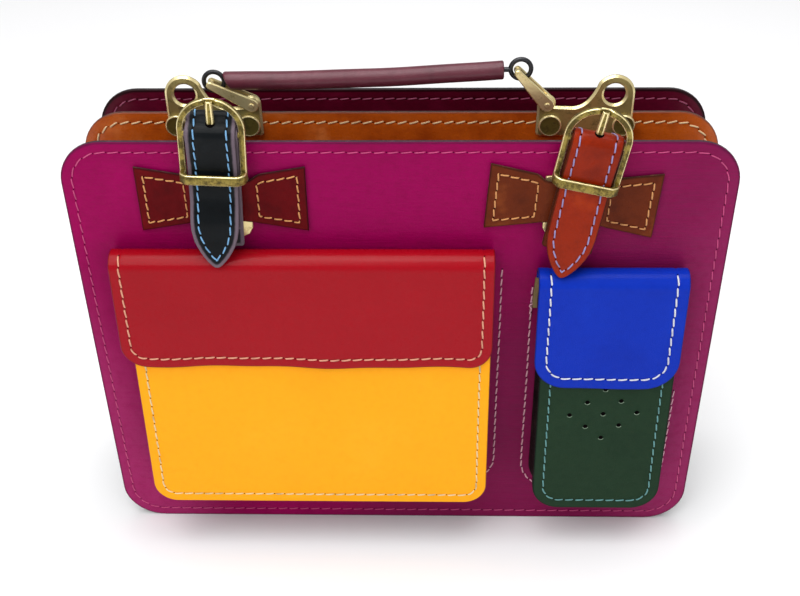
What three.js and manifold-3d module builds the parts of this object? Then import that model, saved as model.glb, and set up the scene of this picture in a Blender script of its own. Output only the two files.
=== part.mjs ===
// A leather satchel with three panels, two compartments, two front pockets, two strap closures and a handle.
// Millimetres, +Z up, +X to the right when the front is seen, the front looks towards -Y.
// Depths (y) are measured from the front panel's front face, and the finished group is moved so that the
// origin lies under the middle of the whole bag.

import * as THREE from "three";
import { mergeVertices } from "three/addons/utils/BufferGeometryUtils.js";
import Module from "manifold-3d";

const wasm = await Module();
wasm.setup();

// Clearances
const SEAT_GAP = 0.3;
const LOOSE_GAP = 0.5;
const PIN_CLEARANCE = 0.3;

// Panels, front to back
const PANEL_WIDTH = 370;
const FRONT_HEIGHT = 280;
const FRONT_THICKNESS = 3;
const PANEL_CORNER = 25;
const DIVIDER_INSET = 3;
const DIVIDER_WIDTH = PANEL_WIDTH - 2 * DIVIDER_INSET;
const DIVIDER_HEIGHT = 277.5;
const DIVIDER_THICKNESS = 2.6;
const BACK_HEIGHT = 270;
const BACK_THICKNESS = 3;
const FRONT_ROOM = 38;
const BACK_ROOM = 44.4;

// Gussets between the panels
const GUSSET_WALL = 1.6;
const GUSSET_FLANGE = 9;
const GUSSET_EDGE = 0.6;
const SIDE_FOLD = 11;
const BOTTOM_FOLD = 3;

// Front pockets
const POCKET_LEATHER = 2.2;
const POCKET_GUSSET_WALL = 1.6;
const POCKET_FLANGE = 6.5;
const POCKET_INNER_FLANGE = 7;
const POCKET_SPREAD = 1.5;
const FLAP_LEATHER = 2;
const FLAP_SEAM = 7;
const MOUTH_DROP = 1;
const LARGE_POCKET_INSET = 29;
const LARGE_POCKET_WIDTH = 209;
const LARGE_POCKET_CENTRE = -PANEL_WIDTH / 2 + LARGE_POCKET_INSET + LARGE_POCKET_WIDTH / 2;
const LARGE_POCKET_BOTTOM = 39;
const LARGE_POCKET_CORNER = 14;
const LARGE_POCKET_DEPTH = 26;
const LARGE_POCKET_MOUTH = 16;
const LARGE_FLAP_SHIFT = -2.7;
const LARGE_FLAP_WIDTH = 216;
const LARGE_CREST_DROP = 63;
const LARGE_FLAP_CREST = FRONT_HEIGHT - LARGE_CREST_DROP;
const LARGE_FLAP_LENGTH = 72.5;
const LARGE_FLAP_CORNER = 14;
const SMALL_POCKET_INSET = 23.5;
const SMALL_POCKET_WIDTH = 79;
const SMALL_POCKET_CENTRE = PANEL_WIDTH / 2 - SMALL_POCKET_INSET - SMALL_POCKET_WIDTH / 2;
const SMALL_POCKET_BOTTOM = 33;
const SMALL_POCKET_CORNER = 17;
const SMALL_POCKET_DEPTH = 24;
const SMALL_POCKET_MOUTH = 15;
const SMALL_FLAP_SHIFT = -1.2;
const SMALL_FLAP_WIDTH = 84.5;
const SMALL_CREST_DROP = 75.5;
const SMALL_FLAP_CREST = FRONT_HEIGHT - SMALL_CREST_DROP;
const SMALL_FLAP_LENGTH = 76;
const SMALL_FLAP_CORNER = 19;

// The nine holes in the small pocket, a square grid standing on its corner
const HOLE_RADIUS = 1.5;
const HOLE_PITCH = 14.2;
const HOLE_CENTRE_DROP = 17.5;
const HOLE_SIDES = 10;

// Bow-shaped loops
const BOW_LEATHER = 2;
const BOW_HEIGHT = 40;
const BOW_CLEARANCE = 0.6;
const BRIDGE_HEIGHT = 0.65;
const LEFT_BOW_INSET = 88.2;
const LEFT_BOW_CENTRE = -PANEL_WIDTH / 2 + LEFT_BOW_INSET;
const LEFT_BOW_DROP = 34;
const LEFT_BOW_MIDDLE = FRONT_HEIGHT - LEFT_BOW_DROP;
const LEFT_BOW_LENGTH = 93.3;
const RIGHT_BOW_INSET = 89.5;
const RIGHT_BOW_CENTRE = PANEL_WIDTH / 2 - RIGHT_BOW_INSET;
const RIGHT_BOW_DROP = 35.2;
const RIGHT_BOW_MIDDLE = FRONT_HEIGHT - RIGHT_BOW_DROP;
const RIGHT_BOW_LENGTH = 93.7;
const RIGHT_BOW_TILT_DEG = 4;

// Straps, their inner plies and the tongues
const STRAP_WIDTH = 26.2;
const STRAP_LEATHER = 2.2;
const STRAP_POINT = 27;
const STRAP_POINT_RISE = 1.6;
const STRAP_ANCHOR_LENGTH = 42;
const LEFT_STRAP_DROP = 77.5;
const LEFT_TIP_DEPTH = 9.3;
const RIGHT_STRAP_DROP = 82;
const RIGHT_TIP_DEPTH = 6;
const CHAPE_WIDTH = 28;
const CHAPE_LEATHER = 1.5;
const CHAPE_LEG_TOP = 8;
const CHAPE_BACK_LEG = 2.15;
const LEFT_CHAPE_DROP = 70;
const RIGHT_CHAPE_DROP = 69;
const CHAPE_FRONT_SHORTER = 12;
const TONGUE_WIDTH = 23;
const TONGUE_THICKNESS = 1.8;
const TONGUE_DROP = 58;
const TONGUE_BOTTOM = FRONT_HEIGHT - TONGUE_DROP;
const TONGUE_SIDE_SHIFT = 4;
const TONGUE_HOLD = 12;
const TONGUE_CORNER = 6;
const TONGUE_NECK = 3;
const TONGUE_STEP = 3.5;

// Buckles
const BAR_DEPTH = 9.5;
const BAR_RADIUS = 1.75;
const BAR_CLEARANCE = 0.15;
const RIM_WIDTH = 4;
const RIM_THICKNESS = 3;
const BUCKLE_SIDE_ROOM = 0.6;
const BUCKLE_ABOVE_BAR = 20.2;
const BUCKLE_BELOW_BAR = 27;
const KEEPER_HEIGHT = 5.6;
const KEEPER_THICKNESS = 2.2;
const KEEPER_ROOM = 6;
const KEEPER_SHOULDER = 4;
const KEEPER_CHAMFER = 1;
const NOTCH_DEPTH = 1.2;
const PRONG_WIDTH = 4.4;
const PRONG_THICKNESS = 2.4;
const PRONG_CHAMFER = 0.8;
const PRONG_SLOT = 5.6;
const LEFT_BAR_SHIFT = -0.2;
const LEFT_BAR_X = LEFT_BOW_CENTRE + LEFT_BAR_SHIFT;
const LEFT_BAR_RISE = 10;
const LEFT_BAR_HEIGHT = FRONT_HEIGHT + LEFT_BAR_RISE;
const RIGHT_BAR_SHIFT = 8.9;
const RIGHT_BAR_X = RIGHT_BOW_CENTRE + RIGHT_BAR_SHIFT;
const RIGHT_BAR_RISE = 4.8;
const RIGHT_BAR_HEIGHT = FRONT_HEIGHT + RIGHT_BAR_RISE;

// Handle plates on the divider
const PLATE_THICKNESS = 3;
const PLATE_SPACING = 154;
const PLATE_INNER = PLATE_SPACING / 2;
const PLATE_DROP = 13.5;
const PLATE_BOTTOM = DIVIDER_HEIGHT - PLATE_DROP;
const PLATE_EDGE_RISE = 4.5;
const PLATE_EDGE_HEIGHT = DIVIDER_HEIGHT + PLATE_EDGE_RISE;
const PLATE_CORNER = 2.5;
const PLATE_OUTER_CORNER = 5;
const PLATE_SWEEP = 14;
const PIN_INSET = 5.2;
const PIN_X = PLATE_INNER + PIN_INSET;
const PIN_RISE = 6.8;
const PIN_HEIGHT = DIVIDER_HEIGHT + PIN_RISE;
const PIN_RADIUS = 1.6;
const LUG_RADIUS = 5;
const EYE_INSET = 42.4;
const EYE_X = PLATE_INNER + EYE_INSET;
const EYE_RISE = 12.4;
const EYE_HEIGHT = DIVIDER_HEIGHT + EYE_RISE;
const EYE_RADIUS = 6.1;
const EYE_RIM = 5;
const RIVET_INNER_INSET = 7.6;
const RIVET_INNER_X = PLATE_INNER + RIVET_INNER_INSET;
const RIVET_OUTER_INSET = 48.6;
const RIVET_OUTER_X = PLATE_INNER + RIVET_OUTER_INSET;
const RIVET_DROP = 5.9;
const RIVET_HEIGHT = DIVIDER_HEIGHT - RIVET_DROP;
const RIVET_HEAD_RADIUS = 6.4;
const RIVET_HEAD_HEIGHT = 1.8;
const RIVET_SHANK_RADIUS = 2;
const RIVET_TAIL_HEIGHT = 1.2;

// Handle links, rings and grip
const LINK_LENGTH = 25;
const LINK_ARM_THICKNESS = 1.8;
const LINK_WIDE = 4;
const LINK_NARROW = 2.1;
const LINK_BAR_RADIUS = 1.6;
const LINK_PIN_PROUD = 0.6;
const LINK_BAR_SHORT = 0.2;
const LEFT_LINK_ANGLE = 151.5;
const RIGHT_LINK_ANGLE = 132;
const RING_INNER_RADIUS = 4.3;
const RING_WIRE = 2.6;
const RING_SHANK_LENGTH = 8;
const RING_SHANK_RADIUS = 1.4;
const GRIP_RADIUS = 5.1;
const GRIP_SAG = 1.6;
const GRIP_LEFT_ROOM = 9.6;
const GRIP_RIGHT_ROOM = 9.4;
const RING_REST = { leftX: 1.9, leftZ: 1.3, rightX: 1.5, rightZ: 1.6 };

// Depths that follow from the sizes above
const DIVIDER_FRONT = FRONT_THICKNESS + FRONT_ROOM;
const DIVIDER_BACK = DIVIDER_FRONT + DIVIDER_THICKNESS;
const BACK_FRONT = DIVIDER_BACK + BACK_ROOM;
const BACK_BACK = BACK_FRONT + BACK_THICKNESS;
const PLATE_BACK = DIVIDER_FRONT - SEAT_GAP;
const PLATE_MIDDLE = PLATE_BACK - PLATE_THICKNESS / 2;
const EYE_OUTER = EYE_RADIUS + EYE_RIM;
const BUCKLE_INNER_HALF = CHAPE_WIDTH / 2 + BUCKLE_SIDE_ROOM;
const BUCKLE_OUTER_HALF = BUCKLE_INNER_HALF + RIM_WIDTH;

const RADIANS = Math.PI / 180;
const vec = (x, y, z) => new THREE.Vector3(x, y, z);

// Solid helpers

function orientedOutwards(positions, index) {
  let volume = 0;
  const corners = [vec(), vec(), vec()];
  for (let i = 0; i < index.length; i += 3) {
    corners.forEach((corner, k) => corner.fromArray(positions, 3 * index[i + k]));
    volume += corners[0].dot(corners[1].clone().cross(corners[2]));
  }
  return volume > 0 ? index : index.slice().reverse();
}

// Triangles that close a flat ring of points, turned the same way round as the ring.
function capOf(ring) {
  const normal = vec(0, 0, 0);
  ring.forEach((p, i) => {
    const q = ring[(i + 1) % ring.length];
    normal.add(p.clone().cross(q));
  });
  const size = [Math.abs(normal.x), Math.abs(normal.y), Math.abs(normal.z)];
  const dropped = size.indexOf(Math.max(...size));
  const flat = ring.map((p) => {
    const kept = p.toArray().filter((_, axis) => axis !== dropped);
    return new THREE.Vector2(...kept);
  });
  const clockwise = THREE.ShapeUtils.area(flat) < 0;
  return THREE.ShapeUtils.triangulateShape(flat, []).map((face) => {
    const faceArea = THREE.ShapeUtils.area(face.map((k) => flat[k]));
    return faceArea < 0 === clockwise ? face : face.slice().reverse();
  });
}

// A closed skin through rings of equally many points, flat at both ends.
function loft(rings) {
  const count = rings[0].length;
  const last = (rings.length - 1) * count;
  const positions = rings.flat().flatMap((p) => p.toArray());
  const index = [];
  for (let base = 0; base < last; base += count) {
    for (let k = 0; k < count; k += 1) {
      const a = base + k;
      const b = base + ((k + 1) % count);
      index.push(a, b, b + count, a, b + count, a + count);
    }
  }
  capOf(rings[0]).forEach(([a, b, c]) => index.push(c, b, a));
  capOf(rings.at(-1)).forEach(([a, b, c]) => index.push(last + a, last + b, last + c));
  const geometry = new THREE.BufferGeometry();
  geometry.setAttribute("position", new THREE.Float32BufferAttribute(positions, 3));
  geometry.setIndex(orientedOutwards(positions, index));
  return geometry;
}

// A flat outline in x and z, thick from y to y + thickness.
function slab(shape, y, thickness, curveSegments = 4) {
  const settings = { depth: thickness, bevelEnabled: false, curveSegments };
  const geometry = new THREE.ExtrudeGeometry(shape, settings);
  return geometry.rotateX(Math.PI / 2).translate(0, y + thickness, 0);
}

// A round bar along y with its middle at (x, y, z).
function barAlongY(radius, length, x, y, z, sides = 12) {
  return new THREE.CylinderGeometry(radius, radius, length, sides).translate(x, y, z);
}

function block(x0, x1, y0, y1, z0, z1) {
  const geometry = new THREE.BoxGeometry(x1 - x0, y1 - y0, z1 - z0);
  return geometry.translate((x0 + x1) / 2, (y0 + y1) / 2, (z0 + z1) / 2);
}

function toSolid(geometry) {
  const bare = geometry.clone();
  bare.deleteAttribute("normal");
  bare.deleteAttribute("uv");
  const merged = mergeVertices(bare, 1e-4);
  return new wasm.Manifold(
    new wasm.Mesh({
      numProp: 3,
      vertProperties: new Float32Array(merged.attributes.position.array),
      triVerts: new Uint32Array(merged.index.array),
    }),
  );
}

function toGeometry(solid) {
  const mesh = solid.getMesh();
  const geometry = new THREE.BufferGeometry();
  geometry.setAttribute("position", new THREE.BufferAttribute(new Float32Array(mesh.vertProperties), 3));
  geometry.setIndex(new THREE.BufferAttribute(new Uint32Array(mesh.triVerts), 1));
  return geometry;
}

function joined(...geometries) {
  return toGeometry(geometries.map(toSolid).reduce((all, one) => all.add(one)));
}

function cut(geometry, ...tools) {
  return toGeometry(tools.map(toSolid).reduce((rest, tool) => rest.subtract(tool), toSolid(geometry)));
}

// Finishes

const finish = (color, roughness, metalness = 0) => ({ color, roughness, metalness });
const MAGENTA = finish(0x8c1a66, 0.45);
const TAN = finish(0xb25a1a, 0.3);
const BURGUNDY = finish(0x5a0a2c, 0.4);
const DARK = finish(0x2a2226, 0.6);
const YELLOW = finish(0xffaf23, 0.4);
const RED = finish(0xa51e28, 0.35);
const GREEN = finish(0x2d4130, 0.5);
const BLUE = finish(0x193caf, 0.35);
const MAROON = finish(0x690a14, 0.45);
const BROWN = finish(0x7d3c1c, 0.45);
const BLACK = finish(0x1e2223, 0.4);
const RUST = finish(0xa0411a, 0.35);
const BRASS = finish(0x968240, 0.35, 0.9);
const PLUM = finish(0x5a2837, 0.35);
const STEEL = finish(0x3c3c3c, 0.4, 0.8);

const satchel = new THREE.Group();

function place(parent, name, geometry, look) {
  const mesh = new THREE.Mesh(geometry, new THREE.MeshStandardMaterial(look));
  mesh.name = name;
  parent.add(mesh);
  return mesh;
}

// Panels

function panelShape(width, height) {
  const half = width / 2;
  const r = PANEL_CORNER;
  const shape = new THREE.Shape();
  shape.moveTo(-half + r, 0);
  shape.lineTo(half - r, 0);
  shape.absarc(half - r, r, r, -Math.PI / 2, 0);
  shape.absarc(half - r, height - r, r, 0, Math.PI / 2);
  shape.absarc(-half + r, height - r, r, Math.PI / 2, Math.PI);
  shape.absarc(-half + r, r, r, Math.PI, 1.5 * Math.PI);
  return shape;
}

function roundHole(x, z, radius) {
  return new THREE.Path().absarc(x, z, radius, 0, 2 * Math.PI, true);
}

const rivetPlaces = [-1, 1].flatMap((side) => [
  { name: side < 0 ? "left_inner" : "right_inner", x: side * RIVET_INNER_X },
  { name: side < 0 ? "left_outer" : "right_outer", x: side * RIVET_OUTER_X },
]);

function dividerShape() {
  const shape = panelShape(DIVIDER_WIDTH, DIVIDER_HEIGHT);
  const radius = RIVET_SHANK_RADIUS + PIN_CLEARANCE;
  shape.holes = rivetPlaces.map(({ x }) => roundHole(x, RIVET_HEIGHT, radius));
  return shape;
}

// Gussets: a strip folded inwards, sewn by a flange to the panel before it and the panel behind it. It runs
// down one side, round the bottom and up the other side.

function gussetStations(width, top) {
  const half = width / 2;
  const r = PANEL_CORNER;
  const side = (sign) => [
    { x: sign * half, z: top, across: [-sign, 0], fold: 1 },
    { x: sign * half, z: (top + r) / 2, across: [-sign, 0], fold: 0.85 },
    { x: sign * half, z: r, across: [-sign, 0], fold: 0.35 },
  ];
  const corner = (sign) =>
    [18, 36, 54, 72].map((degrees) => {
      const c = Math.cos(degrees * RADIANS);
      const s = Math.sin(degrees * RADIANS);
      return { x: sign * (half - r + r * c), z: r - r * s, across: [-sign * c, s], fold: 0 };
    });
  const floor = (sign) => ({ x: sign * (half - r), z: 0, across: [0, 1], fold: 0 });
  const left = [...side(-1), ...corner(-1), floor(-1)];
  const right = [...side(1), ...corner(1), floor(1)].reverse();
  return [...left, ...right];
}

function gusset(frontWidth, backWidth, yFront, yBack, top) {
  const front = gussetStations(frontWidth, top);
  const back = gussetStations(backWidth, top);
  const y0 = yFront + SEAT_GAP;
  const y1 = yBack - SEAT_GAP;
  const middle = (y0 + y1) / 2;
  const t = GUSSET_WALL;
  const rings = front.map((station, i) => {
    const fold = BOTTOM_FOLD + (SIDE_FOLD - BOTTOM_FOLD) * station.fold;
    const at = (base, inwards, y) =>
      vec(base.x + inwards * base.across[0], y, base.z + inwards * base.across[1]);
    const a = station;
    const b = back[i];
    const centre = { x: (a.x + b.x) / 2, z: (a.z + b.z) / 2, across: a.across };
    return [
      at(a, GUSSET_EDGE, y0),
      at(a, GUSSET_FLANGE + t, y0),
      at(centre, GUSSET_FLANGE + fold + t, middle),
      at(b, GUSSET_FLANGE + t, y1),
      at(b, GUSSET_EDGE, y1),
      at(b, GUSSET_EDGE, y1 - t),
      at(b, GUSSET_FLANGE, y1 - t),
      at(centre, GUSSET_FLANGE + fold, middle),
      at(a, GUSSET_FLANGE, y0 + t),
      at(a, GUSSET_EDGE, y0 + t),
    ];
  });
  return loft(rings);
}

// Pockets: a sloping face, a gusset with a flange sewn to the panel, and a flap that folds over the mouth.

const LARGE = {
  centre: LARGE_POCKET_CENTRE,
  width: LARGE_POCKET_WIDTH,
  bottom: LARGE_POCKET_BOTTOM,
  corner: LARGE_POCKET_CORNER,
  depth: LARGE_POCKET_DEPTH,
  mouth: LARGE_POCKET_MOUTH,
  flapCentre: LARGE_POCKET_CENTRE + LARGE_FLAP_SHIFT,
  flapWidth: LARGE_FLAP_WIDTH,
  crest: LARGE_FLAP_CREST,
  flapBottom: LARGE_FLAP_CREST - LARGE_FLAP_LENGTH,
  flapCorner: LARGE_FLAP_CORNER,
};

const SMALL = {
  centre: SMALL_POCKET_CENTRE,
  width: SMALL_POCKET_WIDTH,
  bottom: SMALL_POCKET_BOTTOM,
  corner: SMALL_POCKET_CORNER,
  depth: SMALL_POCKET_DEPTH,
  mouth: SMALL_POCKET_MOUTH,
  flapCentre: SMALL_POCKET_CENTRE + SMALL_FLAP_SHIFT,
  flapWidth: SMALL_FLAP_WIDTH,
  crest: SMALL_FLAP_CREST,
  flapBottom: SMALL_FLAP_CREST - SMALL_FLAP_LENGTH,
  flapCorner: SMALL_FLAP_CORNER,
};

const foldRadius = (pocket) => (pocket.mouth + LOOSE_GAP - SEAT_GAP) / 2;
const foldHeight = (pocket) => pocket.crest - FLAP_LEATHER / 2 - foldRadius(pocket);
const mouthHeight = (pocket) => foldHeight(pocket) - MOUTH_DROP;
const pocketGussetTop = (pocket) => foldHeight(pocket) - FLAP_SEAM - MOUTH_DROP;

// Depth of the pocket's front face at a height, from the depth at its bottom to the depth at its mouth.
function faceDepth(pocket, z) {
  const share = (z - pocket.bottom) / (mouthHeight(pocket) - pocket.bottom);
  return -(pocket.depth + (pocket.mouth - pocket.depth) * Math.min(1, share));
}

// Heights and half widths of an outline with two rounded lower corners, from the top down.
function roundedRows(top, bottom, halfWidth, corner) {
  const rows = [{ z: top, half: halfWidth }];
  for (let degrees = 0; degrees <= 75; degrees += 15) {
    const z = bottom + corner * (1 - Math.sin(degrees * RADIANS));
    rows.push({ z, half: halfWidth - corner * (1 - Math.cos(degrees * RADIANS)) });
  }
  rows.push({ z: bottom, half: halfWidth - corner });
  return rows;
}

function pocketFace(pocket) {
  const rows = roundedRows(mouthHeight(pocket), pocket.bottom, pocket.width / 2, pocket.corner);
  const rings = rows.map(({ z, half }) => {
    const y = faceDepth(pocket, z);
    const x0 = pocket.centre - half;
    const x1 = pocket.centre + half;
    const behind = y + POCKET_LEATHER;
    return [vec(x0, y, z), vec(x1, y, z), vec(x1, behind, z), vec(x0, behind, z)];
  });
  return loft(rings);
}

function pocketGusset(pocket) {
  const half = pocket.width / 2;
  const r = pocket.corner;
  const stations = [];
  const side = (sign, z) => stations.push({ x: sign * half, z, out: [sign, 0] });
  const corner = (sign, degrees) => {
    const c = Math.cos(degrees * RADIANS);
    const s = Math.sin(degrees * RADIANS);
    stations.push({ x: sign * (half - r + r * c), z: pocket.bottom + r - r * s, out: [sign * c, -s] });
  };
  side(-1, pocketGussetTop(pocket));
  [0, 18, 36, 54, 72, 90].forEach((degrees) => corner(-1, degrees));
  [90, 72, 54, 36, 18, 0].forEach((degrees) => corner(1, degrees));
  side(1, pocketGussetTop(pocket));
  const t = POCKET_GUSSET_WALL;
  const rings = stations.map((station) => {
    const panelSide = (outwards, y) => {
      const x = pocket.centre + station.x + outwards * station.out[0];
      return vec(x, y, station.z + outwards * station.out[1]);
    };
    const faceSide = (outwards, behind) => {
      const point = panelSide(outwards, 0);
      return point.setY(faceDepth(pocket, point.z) + POCKET_LEATHER + SEAT_GAP + behind);
    };
    return [
      faceSide(-POCKET_INNER_FLANGE, 0),
      faceSide(0, 0),
      panelSide(POCKET_SPREAD, -SEAT_GAP - t),
      panelSide(POCKET_SPREAD + POCKET_FLANGE, -SEAT_GAP - t),
      panelSide(POCKET_SPREAD + POCKET_FLANGE, -SEAT_GAP),
      panelSide(POCKET_SPREAD - t, -SEAT_GAP),
      faceSide(-t, t),
      faceSide(-POCKET_INNER_FLANGE, t),
    ];
  });
  return loft(rings);
}

// The flap's seam lies on the panel inside the mouth, its fold is a half circle, and its front hangs down the
// pocket's face.
function flap(pocket) {
  const radius = foldRadius(pocket);
  const z0 = foldHeight(pocket);
  const halfWidth = pocket.flapWidth / 2;
  const seamDepth = -SEAT_GAP - FLAP_LEATHER / 2;
  const stations = [{ y: seamDepth, z: z0 - FLAP_SEAM, half: halfWidth, lean: [-1, 0] }];
  for (let degrees = 0; degrees <= 180; degrees += 20) {
    const c = Math.cos(degrees * RADIANS);
    const s = Math.sin(degrees * RADIANS);
    const y = seamDepth - radius + radius * c;
    stations.push({ y, z: z0 + radius * s, half: halfWidth, lean: [-c, -s] });
  }
  const rows = roundedRows(z0, pocket.flapBottom, halfWidth, pocket.flapCorner).slice(1);
  rows.forEach(({ z, half }) => {
    const y = faceDepth(pocket, z) - LOOSE_GAP - FLAP_LEATHER / 2;
    stations.push({ y, z, half, lean: [1, 0] });
  });
  const t = FLAP_LEATHER / 2;
  const rings = stations.map(({ y, z, half, lean }) => {
    const x0 = pocket.flapCentre - half;
    const x1 = pocket.flapCentre + half;
    const inner = [y + t * lean[0], z + t * lean[1]];
    const outer = [y - t * lean[0], z - t * lean[1]];
    return [vec(x0, ...inner), vec(x1, ...inner), vec(x1, ...outer), vec(x0, ...outer)];
  });
  return loft(rings);
}

function punched(face, pocket) {
  const step = HOLE_PITCH / Math.SQRT2;
  const tools = [];
  for (let row = -1; row <= 1; row += 1) {
    for (let column = -1; column <= 1; column += 1) {
      const x = pocket.centre + (column - row) * step;
      const z = pocket.flapBottom - HOLE_CENTRE_DROP + (column + row) * step;
      const y = faceDepth(pocket, z) + POCKET_LEATHER / 2;
      tools.push(barAlongY(HOLE_RADIUS, 3 * POCKET_LEATHER, x, y, z, HOLE_SIDES));
    }
  }
  return cut(face, ...tools);
}

// Bow-shaped loops: two sewn wings and a raised bridge that the tongue passes behind.

const BOW_SECTIONS = [
  { along: -1, height: 1, lift: 0 },
  { along: -0.45, height: 0.77, lift: 0 },
  { along: -0.35, height: BRIDGE_HEIGHT, lift: 1 },
  { along: -0.16, height: 0.6, lift: 1 },
  { along: 0.16, height: 0.6, lift: 1 },
  { along: 0.35, height: BRIDGE_HEIGHT, lift: 1 },
  { along: 0.45, height: 0.77, lift: 0 },
  { along: 1, height: 1, lift: 0 },
];
const BRIDGE_LIFT = SEAT_GAP + TONGUE_THICKNESS + BOW_CLEARANCE;

// The highest point of a bow's bridge over the tongue.
function bridgeTop(middle, dropDegrees) {
  return middle + (BRIDGE_HEIGHT * BOW_HEIGHT) / 2 + TONGUE_WIDTH * Math.sin(dropDegrees * RADIANS);
}

function bow(centre, middle, length, dropDegrees) {
  const rings = BOW_SECTIONS.map(({ along, height, lift }) => {
    const x = (along * length) / 2;
    const half = (height * BOW_HEIGHT) / 2;
    const back = -SEAT_GAP - lift * BRIDGE_LIFT;
    const front = back - BOW_LEATHER;
    return [vec(x, back, -half), vec(x, back, half), vec(x, front, half), vec(x, front, -half)];
  });
  return loft(rings).rotateY(dropDegrees * RADIANS).translate(centre, 0, middle);
}

// Closures. Each strap runs from the divider over the front panel, up through its buckle and down to a point.
// A chape holds the buckle's bar, and a metal tongue on the chape passes behind the bow. Depths and heights
// here are from the bar's middle. A crest's sections are given backwards in shares of BAR_DEPTH and upwards
// in shares of BUCKLE_ABOVE_BAR.

const CLOSURES = [
  {
    name: "left",
    x: LEFT_BAR_X,
    z: LEFT_BAR_HEIGHT,
    tilt: 2.5,
    turn: 0,
    lean: 0,
    bowTop: bridgeTop(LEFT_BOW_MIDDLE, 0),
    tongueX: LEFT_BOW_CENTRE + TONGUE_SIDE_SHIFT,
    chapeEnd: -LEFT_CHAPE_DROP,
    crest: [
      { back: -0.38, up: 0.163 },
      { back: -0.13, up: 0.243 },
      { back: 0.18, up: 0.302 },
      { back: 0.337, up: 0.386 },
      { back: 0.432, up: 0.48 },
      { back: 0.621, up: 0.515 },
      { back: 0.8, up: 0.455 },
      { back: 0.853, up: 0.322 },
    ],
    tip: -LEFT_STRAP_DROP,
    tipDepth: -LEFT_TIP_DEPTH,
    look: BLACK,
  },
  {
    name: "right",
    x: RIGHT_BAR_X,
    z: RIGHT_BAR_HEIGHT,
    tilt: 9.5,
    turn: 6,
    lean: 4,
    bowTop: bridgeTop(RIGHT_BOW_MIDDLE, RIGHT_BOW_TILT_DEG),
    tongueX: RIGHT_BOW_CENTRE - TONGUE_SIDE_SHIFT,
    chapeEnd: -RIGHT_CHAPE_DROP,
    crest: [
      { back: -0.358, up: 0.168 },
      { back: -0.137, up: 0.228 },
      { back: 0.137, up: 0.228 },
      { back: 0.379, up: 0.158 },
      { back: 0.589, up: 0.079 },
    ],
    tip: -RIGHT_STRAP_DROP,
    tipDepth: -RIGHT_TIP_DEPTH,
    look: RUST,
  },
];

// The strap's point, from its tip upwards, in shares of STRAP_POINT and of the strap's width.
const POINT_WIDTHS = [
  { up: 0, width: 0.05 },
  { up: 0.12, width: 0.34 },
  { up: 0.35, width: 0.66 },
  { up: 0.65, width: 0.9 },
  { up: 1, width: 1 },
];
const CHAPE_RADIUS = BAR_RADIUS + BAR_CLEARANCE + CHAPE_LEATHER / 2;
const CHAPE_FRONT_LEG = CHAPE_BACK_LEG - CHAPE_LEATHER - SEAT_GAP;
const STRAP_RADIUS = CHAPE_RADIUS + (CHAPE_LEATHER + STRAP_LEATHER) / 2 + SEAT_GAP;

// The strap between its point and the bar, forwards in shares of STRAP_RADIUS and down in shares of
// BUCKLE_BELOW_BAR.
const STRAP_FRONT = [
  { out: 0.69, down: 1.41 },
  { out: 0.52, down: 1.04 },
  { out: 0.52, down: 0.67 },
  { out: 0.875, down: 0.26 },
  { out: 1, down: 0 },
];

// The strap where it comes off its crest over the front panel: back in shares of the room to the divider, up
// from the front panel's top in shares of STRAP_LEATHER, and twist as the share of the closure's tilt and
// turn that a section takes.
const STRAP_OVER = [
  { back: 0.167, up: 2.95, twist: 0.8 },
  { back: 0.224, up: 2.09, twist: 0.5 },
  { back: 0.326, up: 1.09, twist: 0.2 },
];

// The strap on its way down to the divider, up from the handle plates' foot in shares of STRAP_ANCHOR_LENGTH.
const STRAP_REAR = [
  { back: 0.611, up: 0.095 },
  { back: 0.796, up: -0.095 },
  { back: 0.817, up: -0.238 },
  { back: 1, up: -0.429 },
  { back: 1, up: -1 },
];

// Room for the prong, in shares of BAR_DEPTH through the leather and of BUCKLE_ABOVE_BAR upwards.
const STRAP_SLOT = { front: -0.95, behind: 0.25, low: 0.1, high: 0.79 };
const CHAPE_SLOT = { front: -0.63, behind: 0.63, low: -0.06, high: 0.446 };

function closureTurn(closure, twist) {
  return new THREE.Quaternion().setFromEuler(
    new THREE.Euler(0, closure.tilt * twist * RADIANS, -closure.turn * twist * RADIANS, "YZX"),
  );
}

// A band of leather or metal through sections given from the bar's middle, each flat across the path.
function band(closure, sections, width, thickness) {
  const rings = sections.map((section, i) => {
    const before = sections[Math.max(0, i - 1)];
    const after = sections[Math.min(sections.length - 1, i + 1)];
    const along = new THREE.Vector2(after.y - before.y, after.z - before.z).normalize();
    const turn = closureTurn(closure, section.twist ?? 1);
    const middle = vec(0, section.y, section.z).applyQuaternion(turn);
    middle.add(vec(closure.x, -BAR_DEPTH, closure.z));
    const across = vec((width * (section.width ?? 1)) / 2, 0, 0).applyQuaternion(turn);
    const through = vec(0, -along.y, along.x).multiplyScalar(thickness / 2).applyQuaternion(turn);
    return [
      middle.clone().sub(across).sub(through),
      middle.clone().add(across).sub(through),
      middle.clone().add(across).add(through),
      middle.clone().sub(across).add(through),
    ];
  });
  return loft(rings);
}

function slotTool(closure, { front, behind, low, high }) {
  const [y0, y1] = [front * BAR_DEPTH, behind * BAR_DEPTH];
  const [z0, z1] = [low * BUCKLE_ABOVE_BAR, high * BUCKLE_ABOVE_BAR];
  const tool = block(-PRONG_SLOT / 2, PRONG_SLOT / 2, y0, y1, z0, z1);
  return tool.applyQuaternion(closureTurn(closure, 1)).translate(closure.x, -BAR_DEPTH, closure.z);
}

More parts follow.
